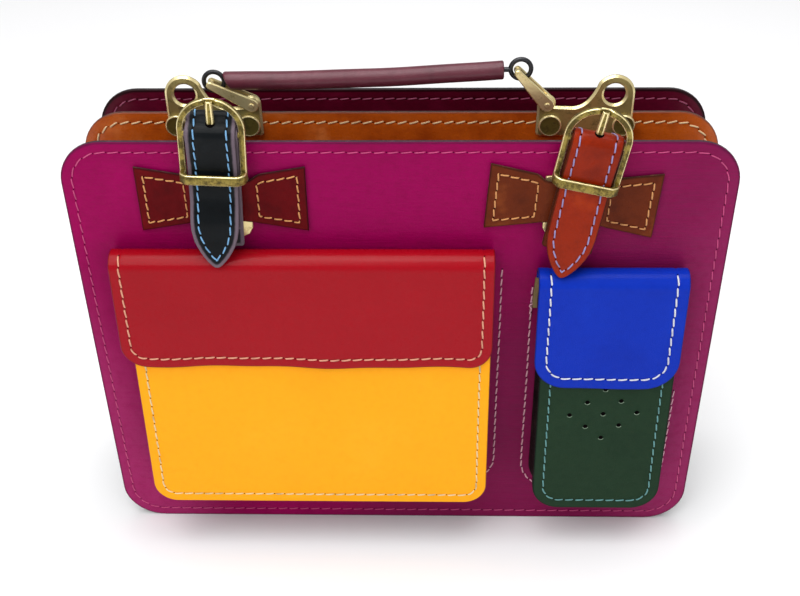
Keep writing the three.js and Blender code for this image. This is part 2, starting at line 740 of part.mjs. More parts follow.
function strap(closure) {
  const point = POINT_WIDTHS.map(({ up, width }) => ({
    y: closure.tipDepth + STRAP_POINT_RISE * up,
    z: closure.tip + STRAP_POINT * up,
    width,
  }));
  const front = STRAP_FRONT.map(({ out, down }) => ({ y: -out * STRAP_RADIUS, z: -down * BUCKLE_BELOW_BAR }));
  const crest = closure.crest.map(({ back, up }) => ({ y: back * BAR_DEPTH, z: up * BUCKLE_ABOVE_BAR }));
  const room = DIVIDER_FRONT + BAR_DEPTH - SEAT_GAP - STRAP_LEATHER / 2;
  const over = STRAP_OVER.map(({ back, up, twist }) => {
    return { y: back * room, z: FRONT_HEIGHT - closure.z + up * STRAP_LEATHER, twist };
  });
  const rear = STRAP_REAR.map(({ back, up }) => {
    return { y: back * room, z: PLATE_BOTTOM - closure.z + up * STRAP_ANCHOR_LENGTH, twist: 0 };
  });
  const sections = [...point, ...front, ...crest, ...over, ...rear];
  const body = band(closure, sections, STRAP_WIDTH, STRAP_LEATHER);
  return cut(body, slotTool(closure, STRAP_SLOT));
}

function chape(closure) {
  const round = [];
  for (let degrees = 0; degrees <= 180; degrees += 30) {
    const angle = degrees * RADIANS;
    round.push({ y: CHAPE_RADIUS * Math.cos(angle), z: CHAPE_RADIUS * Math.sin(angle) });
  }
  const sections = [
    { y: CHAPE_BACK_LEG, z: closure.chapeEnd },
    { y: CHAPE_BACK_LEG, z: -CHAPE_LEG_TOP },
    ...round,
    { y: CHAPE_FRONT_LEG, z: -CHAPE_LEG_TOP },
    { y: CHAPE_FRONT_LEG, z: closure.chapeEnd + CHAPE_FRONT_SHORTER },
  ];
  return cut(band(closure, sections, CHAPE_WIDTH, CHAPE_LEATHER), slotTool(closure, CHAPE_SLOT));
}

// The tongue hangs flat behind the bow and steps forward above it, where the chape holds it.
function tongue(closure) {
  const hang = -SEAT_GAP - TONGUE_THICKNESS / 2;
  const turnedBack = (CHAPE_WIDTH / 2) * Math.sin(closure.turn * RADIANS);
  const behindChape = CHAPE_BACK_LEG + (CHAPE_LEATHER + TONGUE_THICKNESS) / 2 + SEAT_GAP;
  const held = -BAR_DEPTH + behindChape + turnedBack;
  const half = TONGUE_WIDTH / 2;
  const holdTop = closure.bowTop + TONGUE_HOLD;
  const holdX = closure.x - (closure.z - holdTop) * Math.sin(closure.tilt * RADIANS);
  const sections = [
    { x: closure.tongueX, z: TONGUE_BOTTOM, y: hang, half: half - TONGUE_CORNER },
    { x: closure.tongueX, z: TONGUE_BOTTOM + TONGUE_CORNER / 3, y: hang, half: half - TONGUE_CORNER / 3 },
    { x: closure.tongueX, z: TONGUE_BOTTOM + TONGUE_CORNER, y: hang, half },
    { x: closure.tongueX, z: closure.bowTop + BOW_CLEARANCE, y: hang, half },
    { x: holdX, z: closure.bowTop + TONGUE_STEP, y: held, half: half - TONGUE_NECK },
    { x: holdX, z: holdTop, y: held, half: half - TONGUE_NECK },
  ];
  const rings = sections.map(({ x, z, y, half: reach }) => {
    const before = y - TONGUE_THICKNESS / 2;
    const behind = y + TONGUE_THICKNESS / 2;
    return [
      vec(x - reach, before, z),
      vec(x + reach, before, z),
      vec(x + reach, behind, z),
      vec(x - reach, behind, z),
    ];
  });
  return loft(rings);
}

// A buckle with a D-shaped rim, a bar across it and a keeper that stands forward of the rim at its foot. The
// rim has a notch for the prong.
function buckle() {
  const outer = BUCKLE_OUTER_HALF;
  const inner = BUCKLE_INNER_HALF;
  const arch = BUCKLE_ABOVE_BAR - outer;
  const foot = -BUCKLE_BELOW_BAR;
  const rim = new THREE.Shape();
  rim.moveTo(-outer, foot);
  rim.lineTo(-inner, foot);
  rim.lineTo(-inner, arch);
  rim.absarc(0, arch, inner, Math.PI, 0, true);
  rim.lineTo(inner, foot);
  rim.lineTo(outer, foot);
  rim.lineTo(outer, arch);
  rim.absarc(0, arch, outer, 0, Math.PI);
  const half = RIM_THICKNESS / 2;
  const keeperFront = -KEEPER_ROOM - KEEPER_THICKNESS;
  const keeperOutline = new THREE.Shape();
  keeperOutline.moveTo(-outer, half);
  keeperOutline.lineTo(-outer, keeperFront + KEEPER_SHOULDER);
  keeperOutline.lineTo(-outer + KEEPER_SHOULDER, keeperFront);
  keeperOutline.lineTo(outer - KEEPER_SHOULDER, keeperFront);
  keeperOutline.lineTo(outer, keeperFront + KEEPER_SHOULDER);
  keeperOutline.lineTo(outer, half);
  keeperOutline.lineTo(inner, half);
  keeperOutline.lineTo(inner, -KEEPER_ROOM + KEEPER_CHAMFER);
  keeperOutline.lineTo(inner - KEEPER_CHAMFER, -KEEPER_ROOM);
  keeperOutline.lineTo(-inner + KEEPER_CHAMFER, -KEEPER_ROOM);
  keeperOutline.lineTo(-inner, -KEEPER_ROOM + KEEPER_CHAMFER);
  keeperOutline.lineTo(-inner, half);
  const keeper = new THREE.ExtrudeGeometry(keeperOutline, { depth: KEEPER_HEIGHT, bevelEnabled: false });
  keeper.translate(0, 0, foot);
  const barLength = 2 * inner + RIM_WIDTH;
  const bar = new THREE.CylinderGeometry(BAR_RADIUS, BAR_RADIUS, barLength, 12).rotateZ(Math.PI / 2);
  const notchFoot = arch + inner - RIM_WIDTH / 4;
  const notchTop = notchFoot + RIM_WIDTH;
  const reach = PRONG_SLOT / 2;
  const notch = block(-reach, reach, -half - NOTCH_DEPTH, -half + NOTCH_DEPTH, notchFoot, notchTop);
  return cut(joined(slab(rim, -half, RIM_THICKNESS, 8), keeper, bar), notch);
}

// The prong's sections: up in shares of BUCKLE_ABOVE_BAR, forwards in shares of PRONG_THICKNESS, wide in
// shares of PRONG_WIDTH.
const PRONG_SECTIONS = [
  { up: 0.165, out: 0, width: 0.9 },
  { up: 0.365, out: 0.29, width: 1 },
  { up: 0.765, out: 0.71, width: 0.9 },
  { up: 0.945, out: 0.79, width: 0.8 },
];

// The prong stands on the bar and its tip lies in the rim's notch.
function prong() {
  const rings = PRONG_SECTIONS.map(({ up, out, width }) => {
    const z = up * BUCKLE_ABOVE_BAR;
    const x = (width * PRONG_WIDTH) / 2;
    const behind = (0.5 - out) * PRONG_THICKNESS;
    const before = behind - PRONG_THICKNESS;
    return [
      vec(-x, behind, z),
      vec(-x, before + PRONG_CHAMFER, z),
      vec(-x + PRONG_CHAMFER, before, z),
      vec(x - PRONG_CHAMFER, before, z),
      vec(x, before + PRONG_CHAMFER, z),
      vec(x, behind, z),
    ];
  });
  return loft(rings);
}

function addClosure(closure) {
  place(satchel, `strap_${closure.name}`, strap(closure), closure.look);
  place(satchel, `chape_${closure.name}`, chape(closure), closure.look);
  place(satchel, `tongue_${closure.name}`, tongue(closure), BRASS);
  const metal = new THREE.Group();
  metal.position.set(closure.x, -BAR_DEPTH, closure.z);
  const lean = new THREE.Quaternion().setFromAxisAngle(vec(1, 0, 0), closure.lean * RADIANS);
  metal.quaternion.copy(closureTurn(closure, 1)).multiply(lean);
  place(metal, `buckle_${closure.name}`, buckle(), BRASS);
  place(metal, `prong_${closure.name}`, prong(), BRASS);
  satchel.add(metal);
}

// Handle plates, rivets and links. The left plate is the right one turned half a turn about the vertical.

function plateShape() {
  const shape = new THREE.Shape();
  const outer = EYE_X + EYE_OUTER;
  const roundTo = (x, z, radius, degrees) =>
    degrees.forEach((angle) => {
      shape.lineTo(x + radius * Math.cos(angle * RADIANS), z + radius * Math.sin(angle * RADIANS));
    });
  shape.moveTo(PLATE_INNER + PLATE_CORNER, PLATE_BOTTOM);
  shape.lineTo(outer - PLATE_OUTER_CORNER, PLATE_BOTTOM);
  shape.quadraticCurveTo(outer, PLATE_BOTTOM, outer, PLATE_BOTTOM + PLATE_OUTER_CORNER);
  roundTo(EYE_X, EYE_HEIGHT, EYE_OUTER, [0, 18, 36, 54, 72, 90, 108, 126, 144]);
  shape.quadraticCurveTo(EYE_X - PLATE_SWEEP, PLATE_EDGE_HEIGHT, PIN_X + PLATE_SWEEP, PLATE_EDGE_HEIGHT);
  roundTo(PIN_X, PIN_HEIGHT, LUG_RADIUS, [-22, 10, 45, 80, 115, 150, 180]);
  shape.lineTo(PLATE_INNER, PLATE_BOTTOM + PLATE_CORNER);
  shape.holes = [
    roundHole(EYE_X, EYE_HEIGHT, EYE_RADIUS),
    roundHole(PIN_X, PIN_HEIGHT, PIN_RADIUS + PIN_CLEARANCE),
    roundHole(RIVET_INNER_X, RIVET_HEIGHT, RIVET_SHANK_RADIUS + PIN_CLEARANCE),
    roundHole(RIVET_OUTER_X, RIVET_HEIGHT, RIVET_SHANK_RADIUS + PIN_CLEARANCE),
  ];
  return shape;
}

// A rivet with a low head in front of the plate and a smaller one behind the divider.
function rivet() {
  const front = PLATE_BACK - PLATE_THICKNESS - SEAT_GAP;
  const back = DIVIDER_BACK + SEAT_GAP;
  const profile = [
    [0, front - RIVET_HEAD_HEIGHT],
    [0.8 * RIVET_HEAD_RADIUS, front - RIVET_HEAD_HEIGHT],
    [RIVET_HEAD_RADIUS, front - 0.55 * RIVET_HEAD_HEIGHT],
    [RIVET_HEAD_RADIUS, front],
    [RIVET_SHANK_RADIUS, front],
    [RIVET_SHANK_RADIUS, back],
    [0.7 * RIVET_HEAD_RADIUS, back],
    [0.6 * RIVET_HEAD_RADIUS, back + RIVET_TAIL_HEIGHT],
    [0, back + RIVET_TAIL_HEIGHT],
  ];
  return new THREE.LatheGeometry(profile.map(([r, y]) => new THREE.Vector2(r, y)), 14);
}

// A link has an arm on each side of the plate, a pin through the plate's lug and a bar through the handle's
// ring. It is drawn along +X from its pin.
function link() {
  const outline = new THREE.Shape();
  outline.absarc(0, 0, LINK_WIDE, 0.5 * Math.PI, 1.5 * Math.PI);
  outline.absarc(LINK_LENGTH, 0, LINK_NARROW, -0.5 * Math.PI, 0.5 * Math.PI);
  const inner = PLATE_THICKNESS / 2 + LOOSE_GAP;
  const outer = inner + LINK_ARM_THICKNESS;
  const arms = [inner, -outer].map((y) => slab(outline, y, LINK_ARM_THICKNESS));
  const pin = barAlongY(PIN_RADIUS, 2 * (outer + LINK_PIN_PROUD), 0, 0, 0, 10);
  const bar = barAlongY(LINK_BAR_RADIUS, 2 * (outer - LINK_BAR_SHORT), LINK_LENGTH, 0, 0, 10);
  return joined(...arms, pin, bar);
}

function onLink(side, angle, distance) {
  return vec(
    side * PIN_X + distance * Math.cos(angle * RADIANS),
    PLATE_MIDDLE,
    PIN_HEIGHT + distance * Math.sin(angle * RADIANS),
  );
}

// Handle: a leather grip with a ring's shank in each end. The rings hang on the bars of the links.

const leftBar = onLink(-1, LEFT_LINK_ANGLE, LINK_LENGTH);
const rightBar = onLink(1, RIGHT_LINK_ANGLE, LINK_LENGTH);
const leftRing = leftBar.clone().add(vec(RING_REST.leftX, 0, RING_REST.leftZ));
const rightRing = rightBar.clone().add(vec(RING_REST.rightX, 0, RING_REST.rightZ));
const handleSpan = leftRing.distanceTo(rightRing);
const handleTilt = Math.atan2(rightRing.z - leftRing.z, rightRing.x - leftRing.x);

// A ring round y with a shank towards +X that ends inside the grip.
function ring(shankStart) {
  const middle = RING_INNER_RADIUS + RING_WIRE / 2;
  const wire = RING_WIRE / 2;
  const section = [];
  for (let k = 0; k <= 8; k += 1) {
    const a = (k / 8) * 2 * Math.PI;
    section.push(new THREE.Vector2(middle + wire * Math.cos(a), wire * Math.sin(a)));
  }
  const hoop = new THREE.LatheGeometry(section, 16);
  const length = shankStart + RING_SHANK_LENGTH - middle;
  const shank = new THREE.CylinderGeometry(RING_SHANK_RADIUS, RING_SHANK_RADIUS, length, 8);
  shank.rotateZ(Math.PI / 2).translate(middle + length / 2, 0, 0);
  return joined(hoop, shank);
}

function grip() {
  const steps = 8;
  const sides = 12;
  const start = GRIP_LEFT_ROOM;
  const end = handleSpan - GRIP_RIGHT_ROOM;
  const rings = [];
  for (let i = 0; i <= steps; i += 1) {
    const share = i / steps;
    const x = start + (end - start) * share;
    const sag = -GRIP_SAG * 4 * share * (1 - share);
    const loop = [];
    for (let k = 0; k < sides; k += 1) {
      const a = (k / sides) * 2 * Math.PI;
      loop.push(vec(x, GRIP_RADIUS * Math.cos(a), sag + GRIP_RADIUS * Math.sin(a)));
    }
    rings.push(loop);
  }
  const bore = RING_SHANK_RADIUS + PIN_CLEARANCE;
  const depth = RING_SHANK_LENGTH + PIN_CLEARANCE;
  const boreAt = (x) => {
    const hole = new THREE.CylinderGeometry(bore, bore, 2 * depth, 8);
    return hole.rotateZ(Math.PI / 2).translate(x, 0, 0);
  };
  return cut(loft(rings), boreAt(start), boreAt(end));
}

// Assembly

place(satchel, "front_panel", slab(panelShape(PANEL_WIDTH, FRONT_HEIGHT), 0, FRONT_THICKNESS), MAGENTA);
place(satchel, "divider_panel", slab(dividerShape(), DIVIDER_FRONT, DIVIDER_THICKNESS), TAN);
const backPanel = slab(panelShape(PANEL_WIDTH, BACK_HEIGHT), BACK_FRONT, BACK_THICKNESS);
place(satchel, "back_panel", backPanel, BURGUNDY);
const frontGussetTop = Math.min(FRONT_HEIGHT, DIVIDER_HEIGHT) - PANEL_CORNER;
const backGussetTop = Math.min(DIVIDER_HEIGHT, BACK_HEIGHT) - PANEL_CORNER;
const frontGusset = gusset(PANEL_WIDTH, DIVIDER_WIDTH, FRONT_THICKNESS, DIVIDER_FRONT, frontGussetTop);
const backGusset = gusset(DIVIDER_WIDTH, PANEL_WIDTH, DIVIDER_BACK, BACK_FRONT, backGussetTop);
place(satchel, "front_gusset", frontGusset, DARK);
place(satchel, "back_gusset", backGusset, DARK);

place(satchel, "large_pocket_face", pocketFace(LARGE), YELLOW);
place(satchel, "large_pocket_gusset", pocketGusset(LARGE), DARK);
place(satchel, "large_flap", flap(LARGE), RED);
place(satchel, "small_pocket_face", punched(pocketFace(SMALL), SMALL), GREEN);
place(satchel, "small_pocket_gusset", pocketGusset(SMALL), DARK);
place(satchel, "small_flap", flap(SMALL), BLUE);

place(satchel, "bow_left", bow(LEFT_BOW_CENTRE, LEFT_BOW_MIDDLE, LEFT_BOW_LENGTH, 0), MAROON);
const rightBow = bow(RIGHT_BOW_CENTRE, RIGHT_BOW_MIDDLE, RIGHT_BOW_LENGTH, RIGHT_BOW_TILT_DEG);
place(satchel, "bow_right", rightBow, BROWN);
CLOSURES.forEach(addClosure);

for (const side of [-1, 1]) {
  const name = side < 0 ? "left" : "right";
  const flat = slab(plateShape(), -PLATE_THICKNESS / 2, PLATE_THICKNESS, 6);
  const plate = place(satchel, `handle_plate_${name}`, flat, BRASS);
  plate.position.y = PLATE_MIDDLE;
  plate.rotation.z = side < 0 ? Math.PI : 0;
  const angle = side < 0 ? LEFT_LINK_ANGLE : RIGHT_LINK_ANGLE;
  const mesh = place(satchel, `link_${name}`, link(), BRASS);
  mesh.position.set(side * PIN_X, PLATE_MIDDLE, PIN_HEIGHT);
  mesh.rotation.y = -angle * RADIANS;
}
for (const { name, x } of rivetPlaces) {
  place(satchel, `rivet_${name}`, rivet(), BRASS).position.set(x, 0, RIVET_HEIGHT);
}

const handle = new THREE.Group();
handle.position.copy(leftRing);
handle.rotation.y = -handleTilt;
place(handle, "handle_grip", grip(), PLUM);
place(handle, "handle_ring_left", ring(GRIP_LEFT_ROOM), STEEL);
const farRing = place(handle, "handle_ring_right", ring(GRIP_RIGHT_ROOM), STEEL);
farRing.position.x = handleSpan;
farRing.rotation.y = Math.PI;
satchel.add(handle);

// The origin lies on the ground under the middle of the box round the whole bag.
const flapFronts = [LARGE, SMALL].map((p) => faceDepth(p, p.flapBottom) - LOOSE_GAP - FLAP_LEATHER);
const deepest = Math.min(...flapFronts, -LARGE.depth, -SMALL.depth);
satchel.position.y = -(deepest + BACK_BACK) / 2;

export default satchel;
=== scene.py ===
"""Leather, seams, painted edges and antique brass for a satchel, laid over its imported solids.

Lengths are millimetres in the drawing frame: X to the right, Y away from the viewer with 0 on the front
panel's front face, and Z up from the ground. ``to_frame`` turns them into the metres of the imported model.
"""

import logging
import math
from dataclasses import dataclass, field
from enum import Enum
from typing import Callable, Optional, Union

import bmesh
import bpy
import numpy as np
from mathutils import Matrix

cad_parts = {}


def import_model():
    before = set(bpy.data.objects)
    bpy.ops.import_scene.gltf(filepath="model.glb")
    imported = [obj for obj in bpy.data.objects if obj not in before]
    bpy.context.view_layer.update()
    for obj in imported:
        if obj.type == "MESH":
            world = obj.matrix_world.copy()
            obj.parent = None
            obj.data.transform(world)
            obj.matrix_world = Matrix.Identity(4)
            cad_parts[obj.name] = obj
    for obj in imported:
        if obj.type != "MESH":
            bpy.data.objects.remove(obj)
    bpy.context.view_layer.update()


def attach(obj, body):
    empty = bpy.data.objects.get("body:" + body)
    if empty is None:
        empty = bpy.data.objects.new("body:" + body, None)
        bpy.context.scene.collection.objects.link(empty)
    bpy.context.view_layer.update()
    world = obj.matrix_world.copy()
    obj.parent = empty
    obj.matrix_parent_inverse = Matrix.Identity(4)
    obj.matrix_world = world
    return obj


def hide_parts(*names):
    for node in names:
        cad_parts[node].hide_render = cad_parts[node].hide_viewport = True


Array = np.ndarray
Rgb = tuple[float, float, float]
log = logging.getLogger("satchel")

MILLIMETRE = 0.001
DRAWING_SHIFT = -32.5
MERGE_DISTANCE = 0.004
FULL_TURN = 2.0 * math.pi
RIGHT = np.array([1.0, 0.0, 0.0])
BACKWARDS = np.array([0.0, 1.0, 0.0])
UP = np.array([0.0, 0.0, 1.0])
GROOVE_SHARE = 0.8


class Side(Enum):
    """The two ends of the bag, with the sign of X."""

    LEFT = -1
    RIGHT = 1


class Skin(Enum):
    """Material slots of a leather piece; the hole slot holds the painted shadow inside a hole, and the lip
    slot the painted highlight on the lit lower lip of a punched hole.
    """

    FACE = 0
    EDGE = 1
    THREAD = 2
    HOLE = 3
    LIP_HIGHLIGHT = 4


class Metal(Enum):
    """Material slots of a metal piece."""

    BODY = 0
    BRIGHT = 1


def to_frame(points: Array) -> Array:
    """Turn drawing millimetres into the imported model's metres.

    Args:
        points: Points in the last axis, x, y and z.

    Returns:
        The same points, shifted along Y and scaled.
    """
    return (np.asarray(points, float) + (0.0, DRAWING_SHIFT, 0.0)) * MILLIMETRE


def unit(vectors: Array) -> Array:
    """Return the vectors of the last axis at length one."""
    return vectors / np.maximum(np.linalg.norm(vectors, axis=-1, keepdims=True), 1e-9)


def turn_y(degrees: Array) -> Array:
    """Return rotation matrices about +Y, one for each angle."""
    angle = np.radians(np.asarray(degrees, float))
    c, s, o, i = np.cos(angle), np.sin(angle), np.zeros_like(angle), np.ones_like(angle)
    return np.stack([np.stack([c, o, s], -1), np.stack([o, i, o], -1), np.stack([-s, o, c], -1)], -2)


def turn_x(degrees: float) -> Array:
    """Return the rotation matrix about +X."""
    c, s = math.cos(math.radians(degrees)), math.sin(math.radians(degrees))
    return np.array([[1.0, 0.0, 0.0], [0.0, c, -s], [0.0, s, c]])


def turn_z(degrees: Array) -> Array:
    """Return rotation matrices about +Z, one for each angle."""
    angle = np.radians(np.asarray(degrees, float))
    c, s, o, i = np.cos(angle), np.sin(angle), np.zeros_like(angle), np.ones_like(angle)
    return np.stack([np.stack([c, -s, o], -1), np.stack([s, c, o], -1), np.stack([o, o, i], -1)], -2)


def softened(values: Array, reach: int) -> Array:
    """Average each row with its neighbours within reach, the two end rows held.

    Args:
        values: Rows of numbers, evenly spaced along a path.
        reach: Neighbours taken on each side.

    Returns:
        Rows of the same shape.
    """
    if reach < 1:
        return values
    kernel = np.ones(2 * reach + 1) / (2 * reach + 1)
    padded = np.concatenate([
        2 * values[:1] - values[reach:0:-1],
        values,
        2 * values[-1:] - values[-2 : -reach - 2 : -1],
    ])
    return np.stack([np.convolve(padded[:, k], kernel, "valid") for k in range(values.shape[1])], -1)


def resampled(values: Array, step: float, measured: int = 2) -> Array:
    """Space the rows of a polyline evenly.

    Args:
        values: Rows whose first columns are the place that distance is measured in.
        step: Wanted distance between rows.
        measured: How many columns are the place.

    Returns:
        Rows about one step apart, by straight interpolation.
    """
    chords = np.linalg.norm(np.diff(values[:, :measured], axis=0), axis=1)
    distance = np.concatenate([[0.0], np.cumsum(chords)])
    count = max(2, round(distance[-1] / step) + 1)
    wanted = np.linspace(0.0, distance[-1], count)
    return np.stack([np.interp(wanted, distance, values[:, k]) for k in range(values.shape[1])], -1)


# Shader building


class Wire:
    """A shader value whose arithmetic adds Math nodes to its material."""

    def __init__(self, shader: "Shader", socket: bpy.types.NodeSocket) -> None:
        """Keep the material and the output socket."""
        self.shader = shader
        self.socket = socket

    def __add__(self, other: "Value") -> "Wire":
        """Return self + other."""
        return self.shader.math("ADD", self, other)

    def __sub__(self, other: "Value") -> "Wire":
        """Return self - other."""
        return self.shader.math("SUBTRACT", self, other)

    def __mul__(self, other: "Value") -> "Wire":
        """Return self * other."""
        return self.shader.math("MULTIPLY", self, other)

    def __rsub__(self, other: float) -> "Wire":
        """Return other - self."""
        return self.shader.math("SUBTRACT", other, self)

    __radd__ = __add__
    __rmul__ = __mul__


Value = Union[Wire, float]


class Shader:
    """One procedural material and the helpers that fill its node tree."""

    def __init__(self, name: str) -> None:
        """Start a material with a Principled surface."""
        self.material = bpy.data.materials.new(name)
        self.material.use_nodes = True
        self.tree = self.material.node_tree
        self.surface = self.tree.nodes["Principled BSDF"]
        place = self.add("ShaderNodeTexCoord")
        self.millimetres = self.add(
            "ShaderNodeVectorMath", {"operation": "SCALE"}, {
                0: place.outputs["Object"], "Scale": 1 / MILLIMETRE
            }
        ).outputs[0]

    def add(
        self, kind: str, settings: Optional[dict] = None, sockets: Optional[dict] = None
    ) -> bpy.types.Node:
        """Add a node.

        Args:
            kind: The node's type.
            settings: Properties that are set first.
            sockets: Values or links by input name or number.

        Returns:
            The node.
        """
        node = self.tree.nodes.new(kind)
        for key, value in (settings or {}).items():
            setattr(node, key, value)
        for key, value in (sockets or {}).items():
            self.feed(node.inputs[key], value)
        return node

    def feed(self, target: bpy.types.NodeSocket, value: object) -> None:
        """Link a socket or a wire to an input, or set the input's own value."""
        if isinstance(value, Wire):
            value = value.socket
        if isinstance(value, bpy.types.NodeSocket):
            self.tree.links.new(value, target)
        else:
            target.default_value = value

    def math(self, operation: str, first: Value, second: Value = 0.0) -> Wire:
        """Return a Math node's result."""
        node = self.add("ShaderNodeMath", {"operation": operation}, {0: first, 1: second})
        return Wire(self, node.outputs[0])

    def attribute(self, name: str) -> Wire:
        """Return a number kept on the mesh's points."""
        return Wire(self, self.add("ShaderNodeAttribute", {"attribute_name": name}).outputs["Fac"])

    def noise(
        self, size: float, detail: float = 3.0, stretch: Rgb = (1.0, 1.0, 1.0), rough: float = 0.5
    ) -> Wire:
        """Return soft noise.

        Args:
            size: Millimetres across one lump.
            detail: Octaves.
            stretch: How much longer lumps are along each axis.
            rough: How strong the fine octaves are.

        Returns:
            A value near 0.5, from 0 to 1.
        """
        scale = tuple(1.0 / (size * s) for s in stretch)
        mapped = self.add("ShaderNodeMapping", None, {"Vector": self.millimetres, "Scale": scale}).outputs[0]
        node = self.add("ShaderNodeTexNoise", None, {
            "Vector": mapped, "Scale": 1.0, "Detail": detail, "Roughness": rough,
        })
        return Wire(self, node.outputs["Fac"])

    def cells(self, size: float) -> Wire:
        """Return the distance to the nearest border of cells of a size in millimetres."""
        node = self.add("ShaderNodeTexVoronoi", {"feature": "DISTANCE_TO_EDGE"}, {
            "Vector": self.millimetres, "Scale": 1.0 / size,
        })
        return Wire(self, node.outputs["Distance"])

    def along(self, axis: Rgb) -> Wire:
        """Return the place along an axis, in millimetres."""
        node = self.add("ShaderNodeVectorMath", {"operation": "DOT_PRODUCT"}, {0: self.millimetres, 1: axis})
        return Wire(self, node.outputs["Value"])

    def ease(self, value: Value, low: float, high: float) -> Wire:
        """Return 0 below low, 1 above high and a smooth step between them."""
        node = self.add("ShaderNodeMapRange", {"interpolation_type": "SMOOTHSTEP"}, {
            "Value": value, "From Min": low, "From Max": high,
        })
        return Wire(self, node.outputs["Result"])

    def blend(self, amount: Value, first: object, second: object, way: str = "MIX") -> bpy.types.NodeSocket:
        """Return two colours mixed.

        Args:
            amount: 0 for the first, 1 for the second.
            first: A colour or a colour socket.
            second: A colour or a colour socket.
            way: The blend type.

        Returns:
            The mixed colour's socket.
        """
        node = self.add("ShaderNodeMix", {"data_type": "RGBA", "blend_type": way}, {
            "Factor": amount, 6: self.opaque(first), 7: self.opaque(second),
        })
        return node.outputs[2]

    @staticmethod
    def opaque(colour: object) -> object:
        """Give a plain colour its fourth number."""
        return (*linear(colour), 1.0) if isinstance(colour, tuple) else colour

    def bump(
        self, height: Wire, depth: float, under: Optional[bpy.types.NodeSocket] = None
    ) -> bpy.types.NodeSocket:
        """Return a normal.

        Args:
            height: Relief from 0 to 1.
            depth: Millimetres that 1 stands for.
            under: A normal that this one is added to.

        Returns:
            The normal's socket.
        """
        node = self.add("ShaderNodeBump", None, {"Height": height, "Distance": depth * MILLIMETRE})
        if under is not None:
            self.feed(node.inputs["Normal"], under)
        return node.outputs[0]

    def finish(self, **sockets: object) -> bpy.types.Material:
        """Set the surface's inputs, with underscores for spaces, and return the material."""
        for key, value in sockets.items():
            value = self.opaque(value) if isinstance(value, tuple) else value
            self.feed(self.surface.inputs[key.replace("_", " ")], value)
        return self.material


def linear(colour: Rgb) -> Rgb:
    """Turn a screen colour of 0 to 255 into linear light."""
    return tuple((c / 255.0) ** 2.2 for c in colour)


@dataclass(frozen=True)
class PaintedLightDrift:
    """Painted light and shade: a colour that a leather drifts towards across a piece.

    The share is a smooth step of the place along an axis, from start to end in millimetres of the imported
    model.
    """

    colour: Rgb
    axis: Rgb
    start: float
    end: float


@dataclass(frozen=True)
class Leather:
    """Dyed and glazed leather."""

    name: str
    colour: Rgb
    deep: Rgb
    light: Rgb
    roughness: float = 0.42
    coat: float = 0.2
    grain: float = 0.07
    lines: float = 0.0
    patch: float = 38.0
    cloudy: float = 0.8
    rim: float = 1.4
    rim_colour: Optional[Rgb] = None
    painted_light_drifts: tuple[PaintedLightDrift, ...] = ()
    shine: float = 0.05

    def material(self) -> bpy.types.Material:
        """Return the leather's material.

        The colour is the dye with soft patches towards its deep and light tones, drifts of painted light and
        shade across the piece and a rim of another tone by the cut edge. The relief is fine pebble grain,
        scattered pores, soft creases and, where asked, fine lines along X.
        """
        shader = Shader(self.name)
        cloud = shader.noise(self.patch, 4.0)
        mottle = shader.noise(4.5, 5.0, rough=0.65)
        colour = shader.blend(shader.ease(cloud, 0.5, 0.78) * self.cloudy, self.colour, self.deep)
        colour = shader.blend(shader.ease(cloud, 0.46, 0.24) * self.cloudy, colour, self.light)
        # Painted light and shade: the piece drifts darker where it lies in shade and lighter where light
        # falls
        for painted_light_drift in self.painted_light_drifts:
            share = shader.ease(shader.along(painted_light_drift.axis) + cloud * 30.0, painted_light_drift.start + 15.0, painted_light_drift.end + 15.0)
            colour = shader.blend(share, colour, painted_light_drift.colour)
        colour = shader.blend(shader.ease(mottle, 0.42, 0.72) * 0.28, colour, self.deep)
        pores = shader.ease(shader.cells(1.15), 0.1, 0.0)
        colour = shader.blend(pores * 0.12, colour, self.deep)
        distance = shader.attribute("mark")
        rim = shader.ease(distance + mottle * 0.9, self.rim + 0.45, max(0.35, self.rim - 0.8))
        colour = shader.blend(rim * 0.85, colour, self.rim_colour or self.deep)
        crease = shader.noise(7.0, 5.0, (3.0, 1.0, 0.8), 0.6)
        fine = shader.noise(0.55, 3.0)
        relief = shader.bump(crease, 0.32)
        relief = shader.bump(fine - pores * 0.6, self.grain, relief)
        gloss = shader.ease(mottle, 0.2, 0.8) * 0.16 + (self.roughness - 0.08)
        if self.lines:
            strokes = shader.noise(0.62, 3.0, (22.0, 1.0, 1.0), 0.6)
            colour = shader.blend(shader.ease(strokes, 0.35, 0.7) * 0.22, colour, self.light)
            relief = shader.bump(strokes, self.lines, relief)
        return shader.finish(
            Base_Color=colour, Roughness=gloss + rim * 0.12, Normal=relief,
            Coat_Weight=self.coat * 0.3, Coat_Roughness=0.22, Specular_IOR_Level=self.shine,
        )


@dataclass(frozen=True)
class CutEdge:
    """The cut edge of leather, bare or painted."""

    name: str
    colour: Rgb
    worn: Rgb
    roughness: float = 0.6

    def material(self) -> bpy.types.Material:
        """Return the edge's material: paint with fine fibre lines and worn patches."""
        shader = Shader(self.name)
        fibre = shader.noise(0.5, 4.0, (5.0, 1.0, 5.0))
        wear = shader.noise(5.0, 4.0, rough=0.7)
        colour = shader.blend(shader.ease(wear, 0.48, 0.66), self.colour, self.worn)
        colour = shader.blend(shader.ease(fibre, 0.4, 0.7) * 0.3, colour, self.worn)
        return shader.finish(
            Base_Color=colour, Roughness=wear * 0.2 + (self.roughness - 0.1), Normal=shader.bump(fibre, 0.2)
        )


